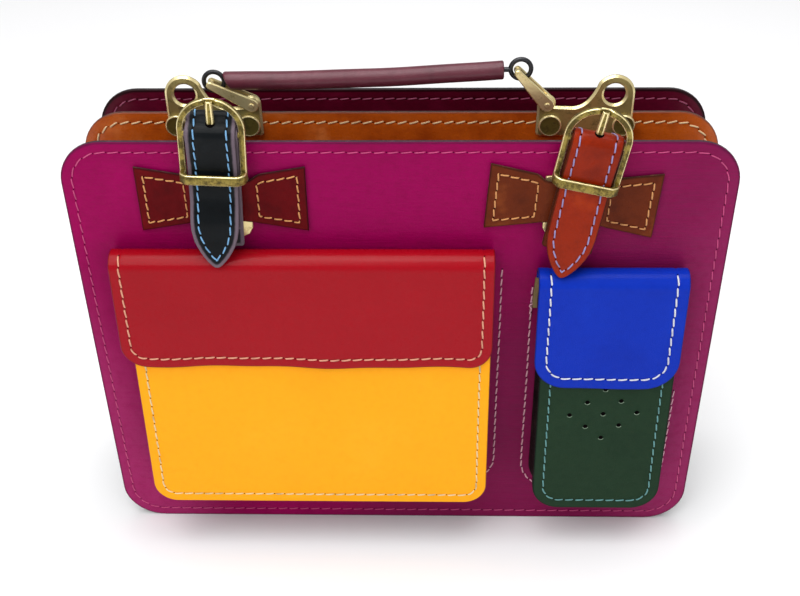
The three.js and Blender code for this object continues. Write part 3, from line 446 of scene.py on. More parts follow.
@dataclass(frozen=True)
class Thread:
    """Waxed sewing thread."""

    name: str
    colour: Rgb
    dirt_and_shade: Rgb

    def material(self) -> bpy.types.Material:
        """Return the thread's material: twist stripes with painted shade in the grooves between them, and
        patches of dirt.
        """
        shader = Shader(self.name)
        twist = shader.math("SINE", shader.attribute("mark") * (FULL_TURN / 0.75)) * 0.5 + 0.5
        grime = shader.noise(9.0, 3.0)
        colour = shader.blend(shader.ease(grime, 0.5, 0.75) * 0.45, self.colour, self.dirt_and_shade)
        # Painted shade in the grooves between the twist's plies
        colour = shader.blend(shader.ease(twist, 0.35, 0.0) * 0.35, colour, self.dirt_and_shade)
        return shader.finish(
            Base_Color=colour, Roughness=grime * 0.1 + 0.5, Normal=shader.bump(twist, 0.12), Sheen_Weight=0.15
        )


@dataclass(frozen=True)
class Shadow:
    """The painted shadow inside a needle hole, a punched hole or a slot."""

    name: str
    colour: Rgb = (10, 7, 8)

    def material(self) -> bpy.types.Material:
        """Return a dull near-black material."""
        shader = Shader(self.name)
        fuzz = shader.noise(0.8, 2.0)
        colour = shader.blend(shader.ease(fuzz, 0.4, 0.8) * 0.3, self.colour, (34, 24, 24))
        return shader.finish(Base_Color=colour, Roughness=fuzz * 0.1 + 0.8, Specular_IOR_Level=0.03)


@dataclass(frozen=True)
class Brass:
    """Antique brass: dark mottled flats or rubbed bright edges."""

    name: str
    colour: Rgb
    tarnish: Rgb
    roughness: float = 0.36
    cover: float = 0.5
    metallic: float = 0.7

    def material(self) -> bpy.types.Material:
        """Return the metal's material: metal under patches of tarnish, with fine pits and brushed streaks."""
        shader = Shader(self.name)
        cloud = shader.noise(5.5, 5.0, rough=0.62)
        spots = shader.noise(0.9, 3.0)
        share = shader.ease(cloud + (spots - 0.5) * 0.35, 0.62 - 0.3 * self.cover, 0.85 - 0.3 * self.cover)
        colour = shader.blend(share, self.colour, self.tarnish)
        relief = shader.bump(spots, 0.05, shader.bump(cloud, 0.12))
        return shader.finish(
            Base_Color=colour, Metallic=self.metallic - share * 0.1,
            Roughness=share * 0.14 + self.roughness, Normal=relief,
        )


@dataclass(frozen=True)
class Ground:
    """The plain pale floor."""

    name: str
    colour: Rgb = (246, 246, 247)

    def material(self) -> bpy.types.Material:
        """Return a matt, almost white material."""
        shader = Shader(self.name)
        cloud = shader.noise(300.0, 2.0)
        colour = shader.blend(cloud * 0.2, self.colour, (238, 238, 240))
        return shader.finish(Base_Color=colour, Roughness=0.85)


Finish = Union[Leather, CutEdge, Thread, Shadow, Brass, Ground]

MAGENTA = Leather(
    "magenta_leather", (144, 8, 80), (120, 16, 64), (158, 8, 88), roughness=0.46, coat=0.1, grain=0.06,
    lines=0.16, patch=60.0, rim=1.6, rim_colour=(78, 24, 56),
    # Painted shade and reflected light: darker towards the lower right, greyer on the right, lighter low on
    # the left
    painted_light_drifts=(
        PaintedLightDrift((118, 28, 72), (1.0, 0.0, -0.6), -70.0, 10.0),
        PaintedLightDrift((142, 46, 92), (1.0, 0.0, -0.2), 105.0, 165.0),
        PaintedLightDrift((156, 44, 98), (-1.0, 0.0, -0.35), 105.0, 150.0),
    ),
)
TAN = Leather(
    "tan_leather", (186, 86, 24), (142, 56, 12), (212, 120, 60), roughness=0.3, coat=0.7, grain=0.05,
    patch=24.0, cloudy=0.9, rim=1.2, rim_colour=(88, 38, 20), shine=0.24,
)
BURGUNDY = Leather(
    "burgundy_leather", (82, 12, 36), (56, 8, 26), (104, 22, 50), roughness=0.36, coat=0.4, grain=0.05,
    patch=40.0, rim=2.2, rim_colour=(20, 12, 14),
)
RED = Leather(
    "red_leather", (154, 16, 30), (144, 14, 27), (162, 20, 33), roughness=0.3, coat=0.6, grain=0.05,
    patch=70.0, cloudy=0.5, rim=1.2, rim_colour=(100, 18, 24),
)
YELLOW = Leather(
    "yellow_leather", (255, 168, 26), (248, 156, 20), (255, 178, 40), roughness=0.4, coat=0.4, grain=0.05,
    patch=70.0, cloudy=0.5, rim=0.9, rim_colour=(186, 116, 20),
)
BLUE = Leather(
    "blue_leather", (16, 50, 172), (14, 42, 152), (20, 58, 184), roughness=0.4, coat=0.3, patch=40.0,
    cloudy=0.5, rim=1.1, rim_colour=(14, 28, 92),
)
GREEN = Leather(
    "green_leather", (36, 56, 40), (28, 46, 34), (42, 64, 46), roughness=0.48, coat=0.15, patch=40.0,
    cloudy=0.6, rim=1.3, rim_colour=(16, 26, 22),
)
MAROON = Leather(
    "maroon_leather", (94, 8, 16), (70, 6, 12), (118, 14, 24), roughness=0.44, coat=0.15, grain=0.06,
    patch=16.0, rim=1.2, rim_colour=(44, 14, 14),
)
BROWN = Leather(
    "brown_leather", (100, 44, 22), (74, 32, 18), (132, 66, 32), roughness=0.46, patch=16.0, cloudy=0.9,
    rim=1.2, rim_colour=(54, 28, 18),
)
BLACK = Leather(
    "black_leather", (22, 25, 27), (16, 18, 20), (34, 37, 40), roughness=0.38, coat=0.35, grain=0.05,
    patch=18.0, rim=2.5, rim_colour=(112, 98, 108),
)
RUST = Leather(
    "rust_leather", (140, 40, 12), (112, 30, 10), (164, 56, 20), roughness=0.32, coat=0.5, grain=0.06,
    patch=18.0, rim=0.9, rim_colour=(80, 28, 14),
)
PLUM = Leather(
    "plum_leather", (94, 42, 54), (74, 32, 42), (114, 58, 70), roughness=0.36, coat=0.8, grain=0.06,
    patch=20.0, rim=0.1, rim_colour=(74, 32, 44), shine=0.3,
)
# Painted shade: near-black leather for the gussets and pocket walls, which stand in the shade between the
# panels and behind the pockets
GUSSET_SHADE = Leather(
    "dark_leather", (34, 27, 28), (20, 17, 18), (52, 42, 40), roughness=0.6, coat=0.05, grain=0.09,
    patch=14.0, rim=1.0, rim_colour=(16, 12, 14),
)
RAW = Leather(
    "raw_leather", (136, 116, 84), (104, 86, 60), (160, 142, 108), roughness=0.7, coat=0.0, grain=0.1,
    patch=9.0, rim=0.5, rim_colour=(84, 68, 48),
)

GREY_EDGE = CutEdge("grey_edge", (38, 24, 32), (66, 50, 60))
BLACK_EDGE = CutEdge("black_edge", (22, 18, 20), (54, 50, 48))
MAUVE_EDGE = CutEdge("mauve_edge", (104, 92, 100), (132, 120, 126))
RUST_EDGE = CutEdge("rust_edge", (92, 36, 22), (130, 62, 40))
DARK_EDGE = CutEdge("dark_edge", (40, 22, 22), (84, 56, 48))
BROWN_EDGE = CutEdge("brown_edge", (60, 32, 22), (104, 70, 48))

# Each thread's second colour is its dirt and the painted shade in its twist grooves
PINK_THREAD = Thread("pink_thread", (206, 70, 128), (140, 30, 84))
CREAM_THREAD = Thread("cream_thread", (232, 200, 152), (150, 104, 62))
WINE_THREAD = Thread("wine_thread", (150, 62, 96), (90, 24, 56))
ROSE_THREAD = Thread("rose_thread", (226, 160, 128), (150, 72, 60))
SAND_THREAD = Thread("sand_thread", (236, 214, 158), (130, 92, 48))
WHITE_THREAD = Thread("white_thread", (220, 222, 230), (120, 132, 176))
TEAL_THREAD = Thread("teal_thread", (92, 150, 150), (46, 80, 80))
TAN_THREAD = Thread("tan_thread", (214, 148, 86), (140, 84, 42))
SKY_THREAD = Thread("sky_thread", (116, 172, 218), (48, 84, 126))
LILAC_THREAD = Thread("lilac_thread", (150, 140, 190), (104, 66, 84))
BLUSH_THREAD = Thread("blush_thread", (226, 168, 184), (150, 70, 110))

# Painted shadow: the dark inside needle holes, punched holes and the prong's slot
HOLE = Shadow("needle_hole_shadow")
# Painted highlight: the lit lower lip of a punched hole, in a lighter green
LIP_HIGHLIGHT = CutEdge("punched_lip_highlight", (92, 112, 92), (128, 146, 124), 0.5)
BRASS = Brass("antique_brass", (150, 132, 66), (84, 72, 30), roughness=0.38, cover=0.75)
PLATE_BRASS = Brass("plate_brass", (156, 142, 88), (112, 100, 60), cover=0.45, metallic=0.6)
DISC_BRASS = Brass("disc_brass", (112, 102, 50), (78, 70, 34), roughness=0.4, cover=0.6, metallic=0.6)
PALE_BRASS = Brass("pale_brass", (226, 206, 150), (168, 148, 96), roughness=0.28, cover=0.2)
RUBBED_BRASS = Brass("rubbed_brass", (240, 222, 164), (190, 166, 100), roughness=0.26, cover=0.2)
STEEL = Brass("dark_steel", (62, 62, 64), (26, 26, 28), roughness=0.34, cover=0.4, metallic=0.8)
PAPER = Ground("pale_floor")


class Wardrobe:
    """Makes each finish's material once."""

    made: dict[str, bpy.types.Material] = {}

    @classmethod
    def take(cls, finish: Finish) -> bpy.types.Material:
        """Return the finish's material."""
        if finish.name not in cls.made:
            cls.made[finish.name] = finish.material()
        return cls.made[finish.name]


# Mesh building


class MeshMaker:
    """Collects grids of points for one piece and turns them into an object."""

    def __init__(self) -> None:
        """Start empty."""
        self.points: list[Array] = []
        self.marks: list[Array] = []
        self.quads: list[Array] = []
        self.slots: list[Array] = []
        self.slabs: list[bpy.types.Mesh] = []
        self.count = 0

    def grid(self, points: Array, slot: Enum, mark: Union[Array, float] = 0.0, wrap: bool = False) -> None:
        """Add grids of quads.

        Args:
            points: Batches of rows and columns of points, or one batch.
            slot: The material slot.
            mark: A number for each point.
            wrap: Whether the last column joins the first.
        """
        if points.ndim == 3:
            points = points[None]
        batch, rows, columns = points.shape[:3]
        index = np.arange(batch * rows * columns).reshape(batch, rows, columns) + self.count
        if wrap:
            index = np.concatenate([index, index[:, :, :1]], 2)
        quads = np.stack([index[:, :-1, :-1], index[:, :-1, 1:], index[:, 1:, 1:], index[:, 1:, :-1]], -1)
        self.points.append(points.reshape(-1, 3))
        self.marks.append(np.broadcast_to(mark, points.shape[:3]).reshape(-1))
        self.quads.append(quads.reshape(-1, 4))
        self.slots.append(np.full(len(self.quads[-1]), slot.value))
        self.count += batch * rows * columns

    def slab(
        self, loops: list[Array], thickness: float, bevel: float, place: Callable[[Array], Array]
    ) -> None:
        """Add a flat slab with holes, its bevelled rims rubbed bright.

        Args:
            loops: The outline and the holes, as rows of two numbers in millimetres.
            thickness: Thickness of the slab.
            bevel: Size of the bevel on every rim.
            place: Turns points of the slab, the third number across it from its middle, into the drawing
                frame.
        """
        curve = bpy.data.curves.new("slab", "CURVE")
        curve.dimensions, curve.fill_mode = "2D", "BOTH"
        curve.extrude, curve.bevel_depth = thickness / 2 - bevel, bevel
        curve.bevel_resolution, curve.offset = 0, -bevel
        for loop in loops:
            line = curve.splines.new("POLY")
            line.points.add(len(loop) - 1)
            line.points.foreach_set("co", np.column_stack([loop, 0 * loop[:, 0], 1 + 0 * loop[:, 0]]).ravel())
            line.use_cyclic_u = True
        holder = bpy.data.objects.new("slab", curve)
        mesh = bpy.data.meshes.new_from_object(holder)
        bpy.data.objects.remove(holder)
        upright = np.abs(np.array([face.normal[2] for face in mesh.polygons]))
        bright = (upright > 0.2) & (upright < 0.95)
        mesh.polygons.foreach_set("material_index", np.where(bright, Metal.BRIGHT.value, Metal.BODY.value))
        points = np.empty(3 * len(mesh.vertices))
        mesh.vertices.foreach_get("co", points)
        mesh.vertices.foreach_set("co", to_frame(place(points.reshape(-1, 3))).ravel())
        self.slabs.append(mesh)

    def build(self, name: str, finishes: list[Finish], smooth: float = 40.0) -> bpy.types.Object:
        """Make the object.

        Args:
            name: The piece's name.
            finishes: Finishes in the order of the slots.
            smooth: Edges sharper than this, in degrees, stay sharp.

        Returns:
            The object at the origin, its doubles merged and its faces outwards.
        """
        if not self.points:
            # A piece of slabs alone starts from one loose point, which is deleted below
            self.grid(np.zeros((1, 1, 3)), Metal.BODY)
        points = to_frame(np.concatenate(self.points))
        quads = np.concatenate(self.quads).astype(np.int32)
        mesh = bpy.data.meshes.new(name)
        mesh.vertices.add(len(points))
        mesh.vertices.foreach_set("co", points.astype(np.float32).ravel())
        mesh.loops.add(quads.size)
        mesh.loops.foreach_set("vertex_index", quads.ravel())
        mesh.polygons.add(len(quads))
        mesh.polygons.foreach_set("loop_start", np.arange(0, quads.size, 4, dtype=np.int32))
        mesh.polygons.foreach_set("material_index", np.concatenate(self.slots).astype(np.int32))
        mesh.update(calc_edges=True)
        mark = mesh.attributes.new("mark", "FLOAT", "POINT")
        mark.data.foreach_set("value", np.concatenate(self.marks).astype(np.float32))
        work = bmesh.new()
        for part in [mesh, *self.slabs]:
            work.from_mesh(part)
        bmesh.ops.remove_doubles(work, verts=work.verts, dist=MERGE_DISTANCE * MILLIMETRE)
        bmesh.ops.delete(work, geom=[v for v in work.verts if not v.link_faces], context="VERTS")
        bmesh.ops.recalc_face_normals(work, faces=work.faces)
        work.to_mesh(mesh)
        work.free()
        mesh.polygons.foreach_set("use_smooth", np.ones(len(mesh.polygons), bool))
        mesh.set_sharp_from_angle(angle=math.radians(smooth))
        for finish in finishes:
            mesh.materials.append(Wardrobe.take(finish))
        piece = bpy.data.objects.new(name, mesh)
        bpy.context.scene.collection.objects.link(piece)
        return piece


def settle(piece: bpy.types.Object, slot: str, *nodes: str, body: str = "root") -> bpy.types.Object:
    """Tie a piece to the frame.

    Args:
        piece: The finished object.
        slot: A material slot's name; not used.
        nodes: CAD nodes that the piece stands for.
        body: The CAD body it moves with.

    Returns:
        The piece.
    """
    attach(piece, body)
    if nodes:
        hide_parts(*nodes)
    log.info("%s: %d vertices", piece.name, len(piece.data.vertices))
    return piece


def tube(
    maker: MeshMaker, path: Array, radii: Array, slot: Enum, sides: int = 20, closed: bool = False
) -> None:
    """Sweep a round section along a path in a plane of constant y.

    A section's ring is centre + radius (cos u across + sin u Y), with across square to the path in x and z.

    Args:
        maker: Where the tube goes.
        path: Centres in order.
        radii: A radius for each centre; 0 closes an end.
        slot: Material slot.
        sides: Points round the ring.
        closed: Whether the path is a loop.
    """
    if closed:
        ring = np.concatenate([path[-1:], path, path[:1]])
        tangent = unit(ring[2:] - ring[:-2])
    else:
        tangent = unit(np.gradient(path, axis=0))
    across = np.stack([-tangent[:, 2], np.zeros(len(path)), tangent[:, 0]], -1)
    angle = np.linspace(0, FULL_TURN, sides, endpoint=False)[:, None]
    rings = np.cos(angle) * across[:, None] + np.sin(angle) * BACKWARDS
    points = path[:, None] + rings * np.broadcast_to(radii, len(path))[:, None, None]
    if closed:
        points = np.concatenate([points, points[:1]])
    maker.grid(points, slot, wrap=True)


def flat_bar(
    maker: MeshMaker, path: Array, up: Array, width: Array, height: float, bevel: float,
    notch: Union[Array, float] = 0.0,
) -> None:
    """Sweep a bevelled rectangle along a path, its bevels rubbed bright and both ends closed.

    Args:
        maker: Where the bar goes.
        path: Centres in a plane square to up.
        up: Direction of the height.
        width: Width in the plane at each centre.
        height: Height along up.
        bevel: Size of the bevel.
        notch: How much lower the upper face is at each centre.
    """
    side = unit(np.cross(up, np.gradient(path, axis=0)))
    scale = np.concatenate([[0.0], np.ones(len(path)), [0.0]])[:, None]
    path, side = (np.concatenate([k[:1], k, k[-1:]]) for k in (path, side))
    wide = np.concatenate([width[:1], width, width[-1:]]) / 2
    low = np.concatenate([[0.0], np.broadcast_to(notch, len(path) - 2), [0.0]])
    out = [wide - bevel, wide, wide, wide - bevel, bevel - wide, -wide, -wide, bevel - wide]
    tall = height / 2
    rise = [tall - low, tall - bevel - low, bevel - tall + 0 * low, 0 * low - tall]
    rise = rise + rise[::-1]
    corners = [path + scale * (out[k][:, None] * side + rise[k][:, None] * up) for k in range(8)]
    for k in range(8):
        slot = Metal.BODY if k % 2 else Metal.BRIGHT
        maker.grid(np.stack([corners[k], corners[(k + 1) % 8]], 1), slot)


def revolved(maker: MeshMaker, profile: Array, middle: Array, slot: Enum, sides: int = 40) -> None:
    """Turn a profile of radius and y about the Y axis through a point.

    Args:
        maker: Where the surface goes.
        profile: Rows of radius and y.
        middle: The axis's x, y and z.
        slot: Material slot.
        sides: Points round the axis.
    """
    angle = np.linspace(0, FULL_TURN, sides, endpoint=False)
    radius, depth = profile[:, :1], profile[:, 1:]
    points = np.stack([radius * np.cos(angle), depth + 0 * angle, radius * np.sin(angle)], -1)
    maker.grid(points + middle, slot, wrap=True)


def ribbon_steps(length: float, pitch: float, seams: tuple[float, ...]) -> Array:
    """Return distances from 0 to length that crowd towards both ends and round each seam."""
    near = {0.0, 0.1, 0.28, 0.5, 0.8, 1.3, 2.0, 3.0, 4.2, 5.6, 7.2, 9.2, 12.0}
    for seam in seams:
        near |= {seam - 1.3, seam - 0.7, seam - 0.3, seam, seam + 0.3, seam + 0.7, seam + 1.3}
    ends = np.array(sorted(d for d in near if d < 0.45 * length))
    inside = np.linspace(ends[-1], length - ends[-1], max(2, round((length - 2 * ends[-1]) / pitch) + 1))
    steps = np.unique(np.concatenate([ends, inside, length - ends]).round(3))
    return steps[np.concatenate([[True], np.diff(steps) > 0.06])]


def rounded_outline(length: float, half: float, top: float, bottom: float) -> Array:
    """Give the half width of a rectangle with rounded corners at distances down it.

    Within a corner of radius r at a distance d from the end, the half width is half - r + sqrt(r^2 - (r -
    d)^2).

    Args:
        length: The rectangle's length.
        half: Its half width.
        top: Radius of the two corners at the start, or 0.
        bottom: Radius of the two corners at the end, or 0.

    Returns:
        Rows of distance and half width.
    """
    angle = np.linspace(0, math.pi / 2, 13)
    start = np.stack([top * (1 - np.cos(angle)), half - top + top * np.sin(angle)], -1)
    end = np.stack([length - bottom * (1 - np.cos(angle)), half - bottom + bottom * np.sin(angle)], -1)[::-1]
    rows = np.concatenate([start if top else start[-1:], end if bottom else end[:1]])
    return rows[np.concatenate([[True], np.linalg.norm(np.diff(rows, axis=0), axis=1) > 1e-6])]


@dataclass
class Sheet:
    """A sheet of leather laid along a path.

    A point of the sheet is centre(s) + a across(s) + (thickness / 2 - depth) outward(s), where s is the
    distance down the path, a the place across it and depth the distance in from the outer face. Outward is
    the path's direction crossed with across. The hem may wave: s grows by a sum of sines of a towards the
    end of the path.
    """

    centre: Array
    across: Array
    outline: Array
    thickness: float
    seams: tuple[float, ...] = ()
    pitch: float = 5.0
    rounding: float = 0.5
    hem: float = 0.0
    billow: float = 0.0
    groove: float = 0.28
    distance: Array = field(init=False)
    outward: Array = field(init=False)

    def __post_init__(self) -> None:
        """Work out distances down the path and the outward directions."""
        chords = np.linalg.norm(np.diff(self.centre, axis=0), axis=1)
        self.distance = np.concatenate([[0.0], np.cumsum(chords)])
        self.across = np.broadcast_to(self.across, self.centre.shape)
        self.outward = unit(np.cross(np.gradient(self.centre, self.distance, axis=0), self.across))

    @property
    def length(self) -> float:
        """Length of the path."""
        return float(self.distance[-1])

    def place(self, s: Array, a: Array, depth: Union[Array, float]) -> Array:
        """Return points of the sheet at distances, places across and depths."""
        end = np.clip(s / self.length, 0, 1)
        if self.hem:
            s = s + self.hem * end**3 * (
                np.sin(a / 17.0 + 0.6) + 0.5 * np.sin(a / 7.3) + 0.4 * np.sin(a / 41.0)
            )
        at = np.clip(s, 0, self.length)
        centre, across, outward = (
            np.stack([np.interp(at, self.distance, field_[:, k]) for k in range(3)], -1)
            for field_ in (self.centre, self.across, self.outward)
        )
        centre = centre + (s - at)[..., None] * unit(self.centre[-1] - self.centre[-2])
        lift = self.thickness / 2 - depth
        if self.billow:
            wide = self.outline[:, 1].max()
            lift = lift + self.billow * end**2 * np.cos(a / wide * 1.4) * (0.75 + 0.25 * np.sin(a / 23.0))
        return centre + a[..., None] * across + np.asarray(lift)[..., None] * unit(outward)

    def rim(self) -> Array:
        """Return the outline as a loop of s and a: down the right side and up the left one."""
        right = self.outline
        left = np.stack([self.outline[::-1, 0], -self.outline[::-1, 1]], -1)
        return np.concatenate([right, left])

    def to_rim(self, s: Array, a: Array) -> Array:
        """Return each point's distance to the outline, the least over its straight pieces."""
        corners = self.rim()
        ends = np.roll(corners, -1, axis=0)
        points = np.stack([s, a], -1)[..., None, :]
        best = np.full(s.shape, np.inf)
        for first in range(0, len(corners), 24):
            start, along = corners[first : first + 24], (ends - corners)[first : first + 24]
            share = np.clip(((points - start) * along).sum(-1) / np.maximum((along**2).sum(-1), 1e-9), 0, 1)
            gap = np.linalg.norm(points - start - share[..., None] * along, axis=-1)
            best = np.minimum(best, gap.min(-1))
        return best

    def rounded(self, rim: Array) -> Array:
        """Return how far the face sinks near the cut edge: a quarter circle of the rounding's radius."""
        share = np.clip(rim / self.rounding, 0, 1)
        return self.rounding * (1 - np.sqrt(1 - (1 - share) ** 2))

    def fill(self, maker: MeshMaker) -> None:
        """Add the two faces and the cut edge.

        The outer face sinks by the rounding and by a bell-shaped groove exp(-((d - seam) / 0.8)^2) along
        each seam, d being the distance to the outline.
        """
        wide = self.outline[:, 1].max()
        rows = np.concatenate(
            [ribbon_steps(self.length, self.pitch, self.seams), self.outline[:, 0], self.knots()]
        )
        rows = np.unique(np.clip(rows, 0, self.length).round(3))
        rows = rows[np.concatenate([[True], np.diff(rows) > 0.05])]
        rows[-1] = self.length
        shares = ribbon_steps(2 * wide, self.pitch, self.seams) / wide - 1
        half = np.interp(rows, self.outline[:, 0], self.outline[:, 1])
        s, a = np.broadcast_arrays(rows[:, None], half[:, None] * shares)
        rim = self.to_rim(s, a)
        groove = sum((np.exp(-(((rim - seam) / 0.8) ** 2)) for seam in self.seams), 0 * rim)
        maker.grid(self.place(s, a, self.rounded(rim) + self.groove * groove), Skin.FACE, rim)
        maker.grid(self.place(s, a, self.thickness - self.rounded(rim)), Skin.FACE, rim)
        border = [np.concatenate([g[0, :-1], g[:-1, -1], g[-1, :0:-1], g[:0:-1, 0]]) for g in (s, a)]
        depth = np.linspace(self.rounding, self.thickness - self.rounding, 3)[:, None]
        edge = self.place(*(np.broadcast_to(b, (3, len(b))) for b in border), depth)
        maker.grid(edge, Skin.EDGE, wrap=True)

    def knots(self) -> Array:
        """Return the path's own distances, at least 1.1 mm apart, where it bends."""
        if len(self.distance) < 4:
            return self.distance
        wanted = np.arange(0, self.length, 1.1)
        return self.distance[
            np.unique(np.searchsorted(self.distance, wanted).clip(0, len(self.distance) - 1))
        ]


def inset(loop: Array, amount: float) -> Array:
    """Move a closed loop of s and a inwards.

    Each corner moves by amount (n1 + n2) / (1 + n1 . n2), n1 and n2 being the inward normals on its two
    sides.

    Args:
        loop: Corners in order.
        amount: Distance inwards.

    Returns:
        Corners of the inner loop.
    """
    step = unit(np.roll(loop, -1, axis=0) - loop)
    normal = np.stack([-step[:, 1], step[:, 0]], -1)
    area = (loop[:, 0] * np.roll(loop[:, 1], -1) - loop[:, 1] * np.roll(loop[:, 0], -1)).sum()
    normal *= np.sign(area)
    before = np.roll(normal, 1, axis=0)
    bend = 1 + (normal * before).sum(-1, keepdims=True)
    return loop + amount * (normal + before) / np.maximum(bend, 0.5)


@dataclass(frozen=True)
class Stitching:
    """A row of stitches in needle holes."""

    pitch: float = 7.0
    gap: float = 1.0
    radius: float = 0.38
    slant: float = 0.25
    hole: float = 0.42

    def sew(self, maker: MeshMaker, sheet: Sheet, path: Array, depth: float = 0.0) -> None:
        """Lay the stitches along a path on the sheet's outer face.

        A stitch's centre line rises out of its holes as sin(pi t)^0.4, and its round section shrinks to
        nothing at both ends. A needle hole is a flat dark lens between two stitches, painted shadow inside
        the hole.

        Args:
            maker: Where the thread goes.
            sheet: The leather.
            path: Rows of s and a.
            depth: How far the row lies below the sheet's outer face.
        """
        chords = np.linalg.norm(np.diff(path, axis=0), axis=1)
        far = np.concatenate([[0.0], np.cumsum(chords)])
        count = max(1, round(far[-1] / self.pitch))
        pitch = far[-1] / count
        t = np.array([0.0, 0.03, 0.14, 0.32, 0.5, 0.68, 0.86, 0.97, 1.0])
        start = np.arange(count)[:, None] * pitch + self.gap / 2
        jitter = np.sin(np.arange(count) * 12.9898)[:, None]
        at = start + t * (pitch - self.gap) * (1 + 0.04 * jitter)
        s, a = (np.interp(at, far, path[:, k]) for k in range(2))
        side = np.gradient(np.stack([s, a], -1), axis=1)
        side = unit(np.stack([-side[..., 1], side[..., 0]], -1)) * (
            (t - 0.5) * 2 * self.slant + 0.08 * jitter
        )[..., None]
        s, a = s + side[..., 0], a + side[..., 1]
        rise = self.radius * (1.15 * np.sin(math.pi * t) ** 0.4 - 0.35)
        centre = sheet.place(s, a, depth - rise + 0 * s)
        outward = unit(sheet.place(s, a, depth - 1.0 + 0 * s) - sheet.place(s, a, depth + 0 * s))
        along = unit(np.gradient(centre, axis=1))
        across = unit(np.cross(along, outward))
        angle = np.linspace(0, FULL_TURN, 7, endpoint=False)[:, None]
        girth = self.radius * np.clip(np.sin(math.pi * t) * 4.0, 0, 1) ** 0.5
        ring = np.cos(angle) * across[:, :, None] * 1.12 + np.sin(angle) * outward[:, :, None] * 0.85
        points = centre[:, :, None] + ring * girth[None, :, None, None]
        mark = np.broadcast_to(at[:, :, None] + 0.25 * angle[None, None, :, 0], points.shape[:3])
        maker.grid(points, Skin.THREAD, mark, wrap=True)
        self.pierce(maker, sheet, path, far, pitch, depth)

    def pierce(
        self, maker: MeshMaker, sheet: Sheet, path: Array, far: Array, pitch: float, depth: float
    ) -> None:
        """Add the dark lens of each needle hole along the path, painted shadow inside the hole."""
        at = np.arange(0, far[-1] + 0.1, pitch)
        s, a = (np.interp(at, far, path[:, k]) for k in range(2))
        lenses(maker, sheet, s, a, self.hole, self.hole, depth)


def lenses(
    maker: MeshMaker, sheet: Sheet, s: Array, a: Array, wide: float, tall: float, depth: float = 0.0
) -> None:
    """Add dark lens shapes on a sheet's face, painted shadow inside holes and slots.

    Args:
        maker: Where they go.
        sheet: The leather.
        s: Distances down the sheet.
        a: Places across it.
        wide: Half size across.
        tall: Half size down the sheet.
        depth: Depth of the face at the lenses.
    """
    angle = np.linspace(0, FULL_TURN, 12, endpoint=False)
    reach = np.array([0.0, 0.75, 1.0, 0.0])[:, None]
    level = np.array([-0.16, -0.12, 0.05, 0.3])[:, None] + 0 * angle
    ring_s = s[:, None, None] + reach * np.sin(angle) * tall
    ring_a = a[:, None, None] + reach * np.cos(angle) * wide
    maker.grid(
        sheet.place(ring_s, ring_a, depth + np.broadcast_to(level, ring_s.shape)), Skin.HOLE, wrap=True
    )


def seam_path(sheet: Sheet, amount: float, start: Optional[float] = None) -> Array:
    """Return a seam's path inside the outline.

    Args:
        sheet: The leather.
        amount: Distance from the outline.
        start: Where the seam starts and ends down the sheet, or None for a closed loop.

    Returns:
        Rows of s and a, down the right side, round the end and up the left side.
    """
    loop = inset(sheet.rim(), amount)
    if start is None:
        return np.concatenate([loop, loop[:1]])
    loop = loop[loop[:, 0] > start]
    half = np.interp(start, sheet.outline[:, 0], sheet.outline[:, 1]) - amount
    return np.concatenate([[[start, half]], loop, [[start, -half]]])


# Sub-assemblies


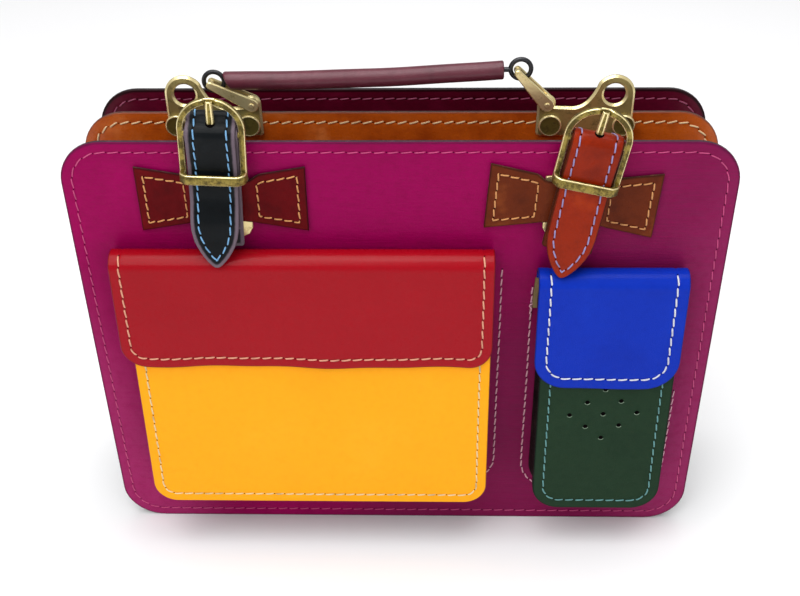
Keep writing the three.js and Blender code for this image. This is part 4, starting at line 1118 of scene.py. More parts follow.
@dataclass
class Panels:
    """The three upright panels and the folded gussets between them."""

    width: float = 370.0
    front_height: float = 280.0
    front_thickness: float = 3.0
    corner: float = 25.0
    divider_width: float = 364.0
    divider_height: float = 277.5
    divider_front: float = 41.0
    divider_thickness: float = 2.6
    back_height: float = 270.0
    back_front: float = 88.0
    back_thickness: float = 3.0
    seam: float = 6.2
    flange: float = 9.0
    side_fold: float = 11.0
    bottom_fold: float = 3.0
    wall: float = 1.6
    seat: float = 0.3

    def panel(self, width: float, height: float, front: float, thickness: float) -> Sheet:
        """Return a flat panel with rounded corners, its path running straight down."""
        z = np.linspace(height, 0, 3)
        centre = np.stack([0 * z, 0 * z + front + thickness / 2, z], -1)
        outline = rounded_outline(height, width / 2, self.corner, self.corner)
        return Sheet(centre, RIGHT, outline, thickness, seams=(self.seam,), pitch=7.0, rounding=0.7)

    def build(self) -> None:
        """Make the panels and the gussets."""
        front = self.panel(self.width, self.front_height, 0.0, self.front_thickness)
        divider = self.panel(
            self.divider_width, self.divider_height, self.divider_front, self.divider_thickness
        )
        back = self.panel(self.width, self.back_height, self.back_front, self.back_thickness)
        for name, sheet, leather, edge, thread, stitching in (
            (
                "front_panel", front, MAGENTA, GREY_EDGE, PINK_THREAD,
                Stitching(pitch=7.2, gap=1.1, radius=0.31, slant=0.35, hole=0.34),
            ),
            (
                "divider_panel", divider, TAN, DARK_EDGE, CREAM_THREAD,
                Stitching(pitch=6.6, radius=0.44, slant=0.8),
            ),
            (
                "back_panel", back, BURGUNDY, BLACK_EDGE, WINE_THREAD,
                Stitching(pitch=6.8, radius=0.36, slant=0.4),
            ),
        ):
            maker = MeshMaker()
            sheet.fill(maker)
            stitching.sew(maker, sheet, seam_path(sheet, self.seam), sheet.groove * GROOVE_SHARE)
            settle(maker.build(f"{name}_leather", [leather, edge, thread, HOLE]), leather.name, name)
        front_top = min(self.front_height, self.divider_height) - self.corner
        back_top = min(self.divider_height, self.back_height) - self.corner
        divider_back = self.divider_front + self.divider_thickness
        self.gusset(
            "front_gusset", self.width, self.divider_width,
            self.front_thickness, self.divider_front, front_top,
        )
        self.gusset("back_gusset", self.divider_width, self.width, divider_back, self.back_front, back_top)

    def way(self, width: float, top: float) -> tuple[Array, Array, Array]:
        """Return the edge path down one side, round the bottom and up the other side.

        Args:
            width: Width of the panel whose edge it follows.
            top: Height of its two ends.

        Returns:
            Places in x and z, inward directions in x and z, and fold shares.
        """
        half, r = width / 2, self.corner
        down = np.linspace(top, r, 34)
        angle = np.linspace(0, math.pi / 2, 10)[1:]
        side = np.stack([0 * down + half, down], -1)
        bend = np.stack([half - r + r * np.cos(angle), r - r * np.sin(angle)], -1)
        inward = np.concatenate([
            np.tile([-1.0, 0.0], (len(down), 1)), np.stack([-np.cos(angle), np.sin(angle)], -1)
        ])
        share = np.concatenate([np.interp(down, [0, r, (top + r) / 2, top], [0, 0.35, 0.85, 1]), 0 * angle])
        share[len(down) :] = np.linspace(0.3, 0, len(angle))
        place = np.concatenate([side, bend])
        mirror = np.array([-1.0, 1.0])
        floor = np.stack([np.linspace(r - half, half - r, 30)[1:-1], np.zeros(28)], -1)
        return (
            np.concatenate([place * mirror, floor, place[::-1]]),
            np.concatenate([inward * mirror, np.tile([0.0, 1.0], (28, 1)), inward[::-1]]),
            np.concatenate([share, np.zeros(28), share[::-1]]),
        )

    def gusset(
        self, name: str, front_width: float, back_width: float, y_front: float, y_back: float, top: float
    ) -> None:
        """Make one gusset.

        Across the strip, u runs from 0 at the front flange's edge to 1 at its foot, 2 at the rear flange's
        foot and 3 at that flange's edge. The fold's reach is the fold share between the bottom's and
        the side's fold, and small waves of the side give the leather its slack.

        Args:
            name: The CAD node.
            front_width: Width of the panel in front.
            back_width: Width of the panel behind.
            y_front: The front panel's rear face.
            y_back: The rear panel's front face.
            top: Height of the gusset's two ends.
        """
        front, inward, share = self.way(front_width, top)
        back = self.way(back_width, top)[0]
        fold = self.bottom_fold + (self.side_fold - self.bottom_fold) * share
        t = self.wall / 2
        y0, y1 = y_front + self.seat + t, y_back - self.seat - t
        u = np.array([0, 0.5, 0.9, 1, 1.12, 1.3, 1.5, 1.7, 1.88, 2, 2.1, 2.5, 3])
        ramp = np.clip(u - 1, 0, 1)
        flange = np.interp(u, [0, 1, 2, 3], [0.6, self.flange, self.flange, 0.6])
        bulge = np.sin(ramp * math.pi) ** 0.75
        reach = flange[None] + t + fold[:, None] * bulge[None]
        wave = 0.5 * np.sin(np.arange(len(front)) / 3.1)[:, None] * bulge[None] * (share[:, None] > 0.3)
        reach = reach + wave
        y = y0 + (y1 - y0) * ramp
        base = front[:, None] + (back - front)[:, None] * ramp[None, :, None]
        flat = base + reach[..., None] * inward[:, None]
        points = np.stack([flat[..., 0], np.broadcast_to(y, reach.shape), flat[..., 1]], -1)
        maker = MeshMaker()
        maker.grid(points, Skin.FACE, 6.0)
        # Painted shade: the gusset folded in between the panels is near-black
        piece = maker.build(f"{name}_leather", [GUSSET_SHADE], 180.0)
        thicken(piece, self.wall)
        settle(piece, GUSSET_SHADE.name, name)


def thicken(piece: bpy.types.Object, wall: float) -> None:
    """Give an open surface a wall of a thickness in millimetres, half on each side."""
    solid = piece.modifiers.new("wall", "SOLIDIFY")
    solid.thickness = wall * MILLIMETRE
    solid.offset = 0.0
    solid.use_even_offset = True


@dataclass
class Pocket:
    """A front pocket: a sloping face, a folded gusset and a flap."""

    name: str
    leather: Leather
    edge: CutEdge
    thread: Thread
    flap_leather: Leather
    flap_edge: CutEdge
    flap_thread: Thread
    centre: float
    width: float
    bottom: float
    corner: float
    depth: float
    mouth: float
    flap_shift: float
    flap_width: float
    crest: float
    flap_length: float
    flap_corner: float
    seam: float
    flap_seam: float
    hem: float
    # The wall's default finish is the near-black painted shade
    wall_leather: Leather = GUSSET_SHADE
    punched: bool = False
    raw_end: bool = False
    hole_radius: float = 1.5
    hole_pitch: float = 14.2
    hole_drop: float = 20.5
    hole_squash: float = 0.9
    hole_tilt: float = 0.055
    thickness: float = 2.2
    flap_thickness: float = 2.0
    gusset_wall: float = 1.6
    flap_seam_start: float = 0.62
    face_seam_start: float = 30.0
    spread: float = 1.5
    seam_spread: float = 5.8
    right_seam_top: Optional[float] = None
    seam_leg: float = 7.0
    seat: float = 0.3
    loose: float = 0.5
    mouth_drop: float = 1.0
    strip_length: float = 21.0
    strip_width: float = 3.0
    strip_thickness: float = 1.5

    @property
    def fold_radius(self) -> float:
        """Radius of the flap's fold at mid-thickness."""
        return (self.mouth + self.loose - self.seat) / 2

    @property
    def fold_height(self) -> float:
        """Height of the centre of the flap's fold."""
        return self.crest - self.flap_thickness / 2 - self.fold_radius

    @property
    def mouth_height(self) -> float:
        """Height of the pocket's mouth."""
        return self.fold_height - self.mouth_drop

    def face_depth(self, z: Array) -> Array:
        """Return the y of the pocket's front face at a height: straight from the bottom's to the mouth's."""
        share = np.minimum(1, (z - self.bottom) / (self.mouth_height - self.bottom))
        return -(self.depth + (self.mouth - self.depth) * share)

    def face(self) -> Sheet:
        """Return the pocket's front, its path running down the slope."""
        z = np.linspace(self.mouth_height, self.bottom, 3)
        centre = np.stack([0 * z + self.centre, self.face_depth(z) + self.thickness / 2, z], -1)
        length = float(np.linalg.norm(centre[-1] - centre[0]))
        outline = rounded_outline(length, self.width / 2, 0.0, self.corner)
        return Sheet(centre, RIGHT, outline, self.thickness, seams=(self.seam,), rounding=0.6)

    def flap(self) -> Sheet:
        """Return the flap: a seam leg up the panel, half a circle over the mouth and a hanging front."""
        r, z0 = self.fold_radius, self.fold_height
        seam_y = -self.seat - self.flap_thickness / 2
        angle = np.radians(np.arange(0, 181, 6))
        arc = np.stack([seam_y - r + r * np.cos(angle), z0 + r * np.sin(angle)], -1)
        z = np.linspace(z0, self.crest - self.flap_length, 26)[1:]
        hang = np.stack([self.face_depth(z) - self.loose - self.flap_thickness / 2, z], -1)
        rows = np.concatenate([[[seam_y, z0 - self.seam_leg]], arc, hang])
        centre = np.stack([np.full(len(rows), self.centre + self.flap_shift), rows[:, 0], rows[:, 1]], -1)
        length = float(np.linalg.norm(np.diff(centre, axis=0), axis=1).sum())
        outline = rounded_outline(length, self.flap_width / 2, 0.0, self.flap_corner)
        return Sheet(
            centre, RIGHT, outline, self.flap_thickness, seams=(self.flap_seam,), pitch=4.0, rounding=0.6,
            hem=self.hem, billow=0.35,
        )

    def build(self) -> None:
        """Make the face, the gusset and the flap."""
        face, maker = self.face(), MeshMaker()
        face.fill(maker)
        Stitching(pitch=6.4, radius=0.42, slant=0.3).sew(
            maker, face, seam_path(face, self.seam, self.face_seam_start), face.groove * GROOVE_SHARE
        )
        if self.punched:
            self.punch(maker, face)
        finishes = [self.leather, self.edge, self.thread, HOLE, LIP_HIGHLIGHT]
        settle(
            maker.build(f"{self.name}_pocket_front", finishes), self.leather.name, f"{self.name}_pocket_face"
        )
        self.gusset()
        if self.raw_end:
            self.loose_ends()
        flap, maker = self.flap(), MeshMaker()
        flap.fill(maker)
        top = self.seam_leg + self.fold_radius * math.pi * self.flap_seam_start
        path = seam_path(flap, self.flap_seam, top)
        Stitching(pitch=6.6, radius=0.45, slant=0.3).sew(maker, flap, path, flap.groove * GROOVE_SHARE)
        finishes = [self.flap_leather, self.flap_edge, self.flap_thread, HOLE]
        settle(
            maker.build(f"{self.name}_flap_leather", finishes), self.flap_leather.name, f"{self.name}_flap"
        )

    def punch(self, maker: MeshMaker, face: Sheet) -> None:
        """Add nine punched holes, a squat grid standing on its corner, each with a raised lip.

        At an angle u a lip's section is hole_radius + 0.3 + 0.4 cos u from the hole's middle and 0.24 sin u
        proud of the face. Its lower half gets a lighter copy too, a hair further out: a painted highlight on
        the lit lower lip.
        """
        row, column = (k.ravel() for k in np.meshgrid([-1, 0, 1], [-1, 0, 1]))
        step = self.hole_pitch / math.sqrt(2)
        a = (column - row) * step
        middle = self.crest - self.flap_length - self.hole_drop
        z = middle + (column + row) * step * self.hole_squash + self.hole_tilt * a
        s = (self.mouth_height - z) * face.length / (self.mouth_height - self.bottom)
        lenses(maker, face, s, a, self.hole_radius, self.hole_radius)
        around, across = (np.linspace(0, FULL_TURN, n, endpoint=False) for n in (20, 8))
        reach = self.hole_radius + 0.3 + 0.4 * np.cos(across)
        lip_s = s[:, None, None] + reach[:, None] * np.sin(around)
        lip_a = a[:, None, None] + reach[:, None] * np.cos(around)
        depth = 0.02 - 0.24 * np.sin(across)[:, None] + 0 * lip_s
        lips = face.place(lip_s, lip_a, depth)
        lower = np.sin(around) > 0.1
        lips = np.concatenate([lips, lips[:, :1]], 1)
        maker.grid(lips, Skin.FACE, 6.0, wrap=True)
        # Painted highlight: a lighter copy of the lower half of each lip
        maker.grid(lips[:, 2:6][:, :, lower] - (0.0, 0.04, 0.0), Skin.LIP_HIGHLIGHT)

    def loose_ends(self) -> None:
        """Make the wall's raw end that shows beside the flap, and the knotted end of its seam.

        The strip sways by a sine of its height. The knot's thread sways and rises by sines that die away
        downwards, and its radius is nothing at both ends.
        """
        edge = self.centre - self.width / 2 - self.spread
        top = self.fold_height - self.mouth_drop
        z = np.linspace(top, top - self.strip_length, 8)
        centre = np.stack([edge - 2.0 + 0.5 * np.sin(z / 6.0), -2.2 + 0 * z, z], -1)
        outline = rounded_outline(self.strip_length, self.strip_width / 2, 0.6, 0.6)
        strip = Sheet(centre, RIGHT, outline, self.strip_thickness, pitch=3.0, rounding=0.4)
        maker = MeshMaker()
        strip.fill(maker)
        settle(maker.build(f"{self.name}_pocket_raw_end", [RAW, RAW]), GUSSET_SHADE.name)
        t = np.linspace(0, 1, 60)
        knot = np.stack([
            edge - 4.6 + 1.1 * np.sin(t * 15.0) * (1 - t),
            -1.4 - 0.7 * np.cos(t * 21.0) ** 2,
            top - 17.0 - 11.0 * t,
        ], -1)
        maker = MeshMaker()
        tube(maker, knot, 0.46 * np.clip(np.sin(t * math.pi) * 6, 0, 1), Skin.FACE, 8)
        settle(maker.build(f"{self.name}_pocket_knot", [BLUSH_THREAD], 60.0), MAGENTA.name)

    def way(self, top: float) -> tuple[Array, Array]:
        """Return the pocket's edge path, down, round and up, in x and z, and its outward directions."""
        half, r = self.width / 2, self.corner
        down = np.linspace(top, self.bottom + r, 26)
        angle = np.linspace(0, math.pi / 2, 9)[1:]
        place = np.concatenate([
            np.stack([0 * down + half, down], -1),
            np.stack([half - r + r * np.cos(angle), self.bottom + r - r * np.sin(angle)], -1),
        ])
        out = np.concatenate(
            [np.tile([1.0, 0.0], (len(down), 1)), np.stack([np.cos(angle), -np.sin(angle)], -1)]
        )
        mirror = np.array([-1.0, 1.0])
        floor = np.stack([np.linspace(r - half, half - r, 16)[1:-1], np.full(14, self.bottom)], -1)
        place = np.concatenate([place * mirror, floor, place[::-1]])
        return place + (self.centre, 0.0), np.concatenate(
            [out * mirror, np.tile([0.0, -1.0], (14, 1)), out[::-1]]
        )

    def gusset(self) -> None:
        """Make the gusset between the face and the panel.

        Across the strip the section runs along the flange behind the face and down the wall with a soft
        inward fold to the panel.
        """
        top = self.fold_height - self.seam_leg - self.mouth_drop
        place, out = self.way(top)
        t = self.gusset_wall / 2
        outwards = np.array([-7.0, -3.5, -1.6, -t, -t - 0.5, -t - 1.1, -t - 1.2, -0.6, 0.1, 0.2])
        front = np.array([1.0, 1.0, 1.0, 0.93, 0.8, 0.6, 0.42, 0.22, 0.06, 0.0])
        flat = place[:, None] + outwards[None, :, None] * out[:, None]
        behind = self.face_depth(flat[..., 1]) + self.thickness + self.seat + t
        y = -self.seat - t + (behind + self.seat + t) * front
        points = np.stack([flat[..., 0], y, flat[..., 1]], -1)
        maker = MeshMaker()
        maker.grid(points, Skin.FACE, 6.0)
        # Painted shade: the pocket's wall is near-black where it stands behind the face's edge
        wall = maker.build(f"{self.name}_pocket_wall", [self.wall_leather], 180.0)
        thicken(wall, self.gusset_wall)
        settle(wall, GUSSET_SHADE.name, f"{self.name}_pocket_gusset")
        self.flange_seam(place, out)

    def flange_seam(self, place: Array, out: Array) -> None:
        """Sew the wall to the panel in a row round the pocket, cut short on the right where asked."""
        row = place + out * self.seam_spread
        if self.right_seam_top is not None:
            kept = (place[:, 0] < self.centre) | (place[:, 1] < self.right_seam_top)
            row, out = row[kept], out[kept]
        y = np.full(len(row), self.gusset_wall / 2)
        centre = np.stack([row[:, 0], y, row[:, 1]], -1)
        across = np.stack([out[:, 0], 0 * y, out[:, 1]], -1)
        band = Sheet(centre, across, np.array([[0.0, self.seam], [self.width, self.seam]]), self.gusset_wall)
        band.outward = np.tile(-BACKWARDS, (len(row), 1))
        maker = MeshMaker()
        Stitching(pitch=6.2, radius=0.4, slant=0.3).sew(
            maker, band, np.array([[0.5, 0.0], [band.length - 0.5, 0.0]])
        )
        piece = maker.build(f"{self.name}_pocket_flange_seam", [MAGENTA, GREY_EDGE, BLUSH_THREAD, HOLE])
        settle(piece, MAGENTA.name)


@dataclass
class Bow:
    """A bow-shaped loop with two sewn wings and a raised bridge."""

    name: str
    leather: Leather
    edge: CutEdge
    thread: Thread
    centre: float
    middle: float
    length: float
    drop: float
    height: float = 40.0
    thickness: float = 2.0
    seat: float = 0.3
    lift: float = 2.7
    seam: float = 4.6
    wing: float = 0.42

    def sheet(self) -> Sheet:
        """Return the bow, its path running along X with the bridge raised off the panel."""
        half = self.length / 2
        x = np.linspace(-half, half, 118)
        lift = np.interp(np.abs(x) / half, [0, 0.35, 0.45, 1], [1, 1, 0, 0])
        rows = softened(np.stack([x, -self.seat - self.thickness / 2 - lift * self.lift], -1), 2)
        centre = np.stack([rows[:, 0], rows[:, 1], 0 * x], -1)
        turn = turn_y(self.drop)
        centre = centre @ turn.T + (self.centre, 0.0, self.middle)
        knots = np.array([-1, -0.45, -0.35, -0.16, 0.16, 0.35, 0.45, 1])
        heights = np.array([1, 0.77, 0.65, 0.6, 0.6, 0.65, 0.77, 1]) * self.height / 2
        across = turn @ UP
        chords = np.concatenate([[0.0], np.cumsum(np.linalg.norm(np.diff(centre, axis=0), axis=1))])
        outline = np.stack([np.interp(knots * half, rows[:, 0], chords), heights], -1)
        return Sheet(centre, across, outline, self.thickness, pitch=2.5, rounding=0.55)

    def build(self) -> None:
        """Make the bow with a closed loop of stitches on each wing."""
        sheet, maker = self.sheet(), MeshMaker()
        sheet.fill(maker)
        half = sheet.length / 2
        inner = self.wing * half
        for side in Side:
            s = half + side.value * np.linspace(inner, half - self.seam, 24)
            a = np.interp(s, sheet.outline[:, 0], sheet.outline[:, 1]) - self.seam
            loop = np.concatenate([np.stack([s, a], -1), np.stack([s[::-1], -a[::-1]], -1), [[s[0], a[0]]]])
            Stitching(pitch=5.6, gap=0.9, radius=0.42, slant=0.3).sew(maker, sheet, loop)
        finishes = [self.leather, self.edge, self.thread, HOLE]
        settle(maker.build(f"bow_{self.name}_leather", finishes), self.leather.name, f"bow_{self.name}")


STRAP_POINT_WIDTHS = np.array([
    [0.0, 0.06], [0.03, 0.16], [0.08, 0.27], [0.15, 0.39], [0.25, 0.54], [0.38, 0.69],
    [0.52, 0.82], [0.68, 0.92], [0.84, 0.98], [1.0, 1.0],
])


@dataclass
class Closure:
    """A strap through its buckle, the chape that holds the buckle's bar, and the metal tongue.

    Places on the strap and the chape are drawn from the bar's middle in y and z, turned by the closure's tilt
    about Y and turn about Z, and moved to the bar.
    """

    name: str
    leather: Leather
    edge: CutEdge
    thread: Thread
    chape_leather: Leather
    chape_edge: CutEdge
    bar_x: float
    bar_z: float
    tilt: float
    turn: float
    chape_end: float
    tip: float
    tip_depth: float
    crest: tuple[tuple[float, float], ...]
    lean: float
    seam: float
    bar_depth: float = 9.5
    above: float = 20.2
    below: float = 27.0
    radius: float = 4.8
    room: float = 49.1
    width: float = 26.2
    thickness: float = 2.2
    point: float = 27.0
    point_rise: float = 1.6
    anchor: float = 42.0
    plate_bottom: float = 264.0
    front_height: float = 280.0
    chape_width: float = 28.0
    chape_thickness: float = 1.5
    chape_radius: float = 2.65
    chape_back: float = 2.15
    chape_front: float = 0.35
    chape_top: float = 8.0
    chape_shorter: float = 12.0
    buckle_inner: float = 14.4
    rim_width: float = 3.5
    rim_height: float = 3.0
    rim_bevel: float = 0.55
    notch_depth: float = 1.2
    notch_half: float = 3.1
    keeper_height: float = 5.6
    keeper_bevel: float = 0.5
    buckle_bar: float = 1.75
    prong_hole: tuple[float, float, float] = (0.0, -0.8, 5.2)
    prong_hole_half: tuple[float, float] = (2.6, 2.2)
    prong_hole_rise: float = 0.12
    seam_start: float = 24.0

    def carried(self, rows: Array) -> tuple[Array, Array]:
        """Turn rows of y, z and twist into centres and across directions in the drawing frame."""
        turn = turn_y(self.tilt * rows[:, 2]) @ turn_z(-self.turn * rows[:, 2])
        local = np.stack([0 * rows[:, 0], rows[:, 0], rows[:, 1]], -1)
        centre = np.einsum("nij,nj->ni", turn, local) + (self.bar_x, -self.bar_depth, self.bar_z)
        return centre, turn[:, :, 0]

    def strap_rows(self) -> Array:
        """Return the strap's y, z and twist from its end on the divider to its tip."""
        rear = np.array([
            (1, -1, 0), (1, -0.429, 0), (0.817, -0.238, 0), (0.796, -0.095, 0), (0.611, 0.095, 0.15),
        ])
        rear = np.stack([
            rear[:, 0] * self.room, self.plate_bottom - self.bar_z + rear[:, 1] * self.anchor, rear[:, 2]
        ], -1)
        over = np.array([(0.326, 1.09, 0.6), (0.224, 2.09, 0.9), (0.167, 2.95, 1.0)])
        over = np.stack([
            over[:, 0] * self.room, self.front_height - self.bar_z + over[:, 1] * self.thickness, over[:, 2]
        ], -1)
        crest = np.array([(back * self.bar_depth, up * self.above, 1.0) for back, up in self.crest[::-1]])
        front = np.array([(1, 0), (0.875, 0.26), (0.52, 0.67), (0.52, 1.04), (0.69, 1.41)])
        front = np.stack([-front[:, 0] * self.radius, -front[:, 1] * self.below, 1 + 0 * front[:, 0]], -1)
        point = np.array([1.0, 0.65, 0.35, 0.12, 0.0])
        point = np.stack([
            -self.tip_depth + self.point_rise * point, -self.tip + self.point * point, 1 + 0 * point
        ], -1)
        return np.concatenate([rear, over, crest, front, point])

    def strap(self) -> Sheet:
        """Return the strap, pointed at its end."""
        rows = softened(softened(resampled(self.strap_rows(), 0.8), 3), 2)
        centre, across = self.carried(rows)
        length = float(np.linalg.norm(np.diff(centre, axis=0), axis=1).sum())
        table = STRAP_POINT_WIDTHS[::-1] * (self.point, self.width / 2)
        outline = np.concatenate([[[0.0, self.width / 2]], np.stack([length - table[:, 0], table[:, 1]], -1)])
        return Sheet(centre, across, outline, self.thickness, seams=(self.seam,), pitch=3.0, rounding=0.6)

    def chape(self) -> Sheet:
        """Return the chape: up behind the bar, round it and down in front of it."""
        angle = np.radians(np.arange(0, 181, 10))
        round_bar = np.stack([self.chape_radius * np.cos(angle), self.chape_radius * np.sin(angle)], -1)
        rows = np.concatenate([
            [[self.chape_back, -self.chape_end], [self.chape_back, -self.chape_top]],
            round_bar,
            [[self.chape_front, -self.chape_top], [self.chape_front, -self.chape_end + self.chape_shorter]],
        ])
        rows = softened(resampled(rows, 0.5), 2)
        centre, across = self.carried(np.column_stack([rows, np.ones(len(rows))]))
        length = float(np.linalg.norm(np.diff(centre, axis=0), axis=1).sum())
        outline = rounded_outline(length, self.chape_width / 2, 2.0, 2.0)
        return Sheet(centre, across, outline, self.chape_thickness, pitch=4.0, rounding=0.4)

    def build(self) -> None:
        """Make the leather pieces and dress the metal ones."""
        strap, maker = self.strap(), MeshMaker()
        strap.fill(maker)
        path = seam_path(strap, self.seam, self.seam_start)
        Stitching(pitch=6.3, gap=1.1, radius=0.4, slant=0.3).sew(
            maker, strap, path, strap.groove * GROOVE_SHARE
        )
        # Painted shadow: a dark lens where the prong comes out through the strap
        hole = turn_y(self.tilt) @ turn_z(-self.turn) @ np.array(self.prong_hole)
        hole = hole + (self.bar_x, -self.bar_depth, self.bar_z)
        nearest = strap.distance[np.linalg.norm(strap.centre - hole, axis=1).argmin()]
        wide, tall = self.prong_hole_half
        lenses(maker, strap, np.array([nearest]), np.array([0.0]), wide, tall, -self.prong_hole_rise)
        finishes = [self.leather, self.edge, self.thread, HOLE]
        settle(maker.build(f"strap_{self.name}_leather", finishes), self.leather.name, f"strap_{self.name}")
        chape, maker = self.chape(), MeshMaker()
        chape.fill(maker)
        finishes = [self.chape_leather, self.chape_edge]
        settle(maker.build(f"chape_{self.name}_leather", finishes), self.leather.name, f"chape_{self.name}")
        rubbed(f"tongue_{self.name}", PALE_BRASS, RUBBED_BRASS, 0.4)
        self.buckle()
        rubbed(f"prong_{self.name}", BRASS, RUBBED_BRASS, 0.45)

    def buckle(self) -> None:
        """Make the buckle: a bevelled D-shaped rim with a notch for the prong, a keeper and a bar."""
        turn = turn_y(self.tilt) @ turn_z(-self.turn) @ turn_x(self.lean)
        half = self.buckle_inner + self.rim_width / 2
        arch = self.above - half - self.rim_width / 2
        angle = np.linspace(math.pi, 0, 73)
        leg = np.linspace(-self.below, arch, 12)[:-1]
        rim = np.concatenate([
            np.stack([0 * leg - half, leg], -1),
            np.stack([half * np.cos(angle), arch + half * np.sin(angle)], -1),
            np.stack([0 * leg + half, leg[::-1]], -1),
        ])
        rim = np.stack([rim[:, 0], 0 * rim[:, 0], rim[:, 1]], -1)
        near = np.clip((self.notch_half - np.abs(rim[:, 0])) / 0.7, 0, 1)
        notch = self.notch_depth * near * (rim[:, 2] > 0)
        maker = MeshMaker()
        flat_bar(
            maker, rim, -BACKWARDS, np.full(len(rim), self.rim_width), self.rim_height, self.rim_bevel, notch
        )
        keeper = np.array([
            (-half, 1.4, 3.4), (-half, -4.4, 3.2), (-half + 2.6, -7.1, 2.2), (half - 2.6, -7.1, 2.2),
            (half, -4.4, 3.2), (half, 1.4, 3.4),
        ])
        keeper = softened(resampled(keeper, 0.5), 2)
        path = np.stack(
            [keeper[:, 0], keeper[:, 1], 0 * keeper[:, 0] - self.below + self.keeper_height / 2], -1
        )
        flat_bar(maker, path, UP, keeper[:, 2], self.keeper_height, self.keeper_bevel)
        reach = self.buckle_inner + 1.0
        x = np.array([-reach, -reach, reach, reach])
        tube(maker, np.stack([x, 0 * x, 0 * x], -1), np.array([0, 1, 1, 0]) * self.buckle_bar, Metal.BODY)
        bar = (self.bar_x, -self.bar_depth, self.bar_z)
        maker.points = [points @ turn.T + bar for points in maker.points]
        piece = maker.build(f"buckle_{self.name}_metal", [BRASS, RUBBED_BRASS], 50.0)
        settle(piece, BRASS.name, f"buckle_{self.name}")


def rubbed(node: str, body: Brass, bright: Brass, bevel: float) -> None:
    """Dress a metal solid: a merged copy of its mesh with bevelled edges that are rubbed bright.

    Args:
        node: The CAD node.
        body: Finish of the flats.
        bright: Finish of the bevelled edges.
        bevel: Width of the bevel in millimetres.
    """
    source = bpy.data.objects[node]
    mesh = source.data.copy()
    mesh.name = f"{node}_metal"
    mesh.materials.clear()
    work = bmesh.new()
    work.from_mesh(mesh)
    bmesh.ops.remove_doubles(work, verts=work.verts, dist=MERGE_DISTANCE * MILLIMETRE)
    bmesh.ops.dissolve_limit(work, angle_limit=math.radians(1.0), verts=work.verts, edges=work.edges)
    bmesh.ops.recalc_face_normals(work, faces=work.faces)
    work.to_mesh(mesh)
    work.free()
    mesh.polygons.foreach_set("use_smooth", np.ones(len(mesh.polygons), bool))
    mesh.polygons.foreach_set("material_index", np.zeros(len(mesh.polygons), np.int32))
    for finish in (body, bright):
        mesh.materials.append(Wardrobe.take(finish))
    piece = bpy.data.objects.new(mesh.name, mesh)
    bpy.context.scene.collection.objects.link(piece)
    edges = piece.modifiers.new("edges", "BEVEL")
    edges.width = bevel * MILLIMETRE
    edges.segments = 2
    edges.limit_method = "ANGLE"
    edges.angle_limit = math.radians(35.0)
    edges.material = Metal.BRIGHT.value
    edges.harden_normals = True
    settle(piece, BRASS.name, node)


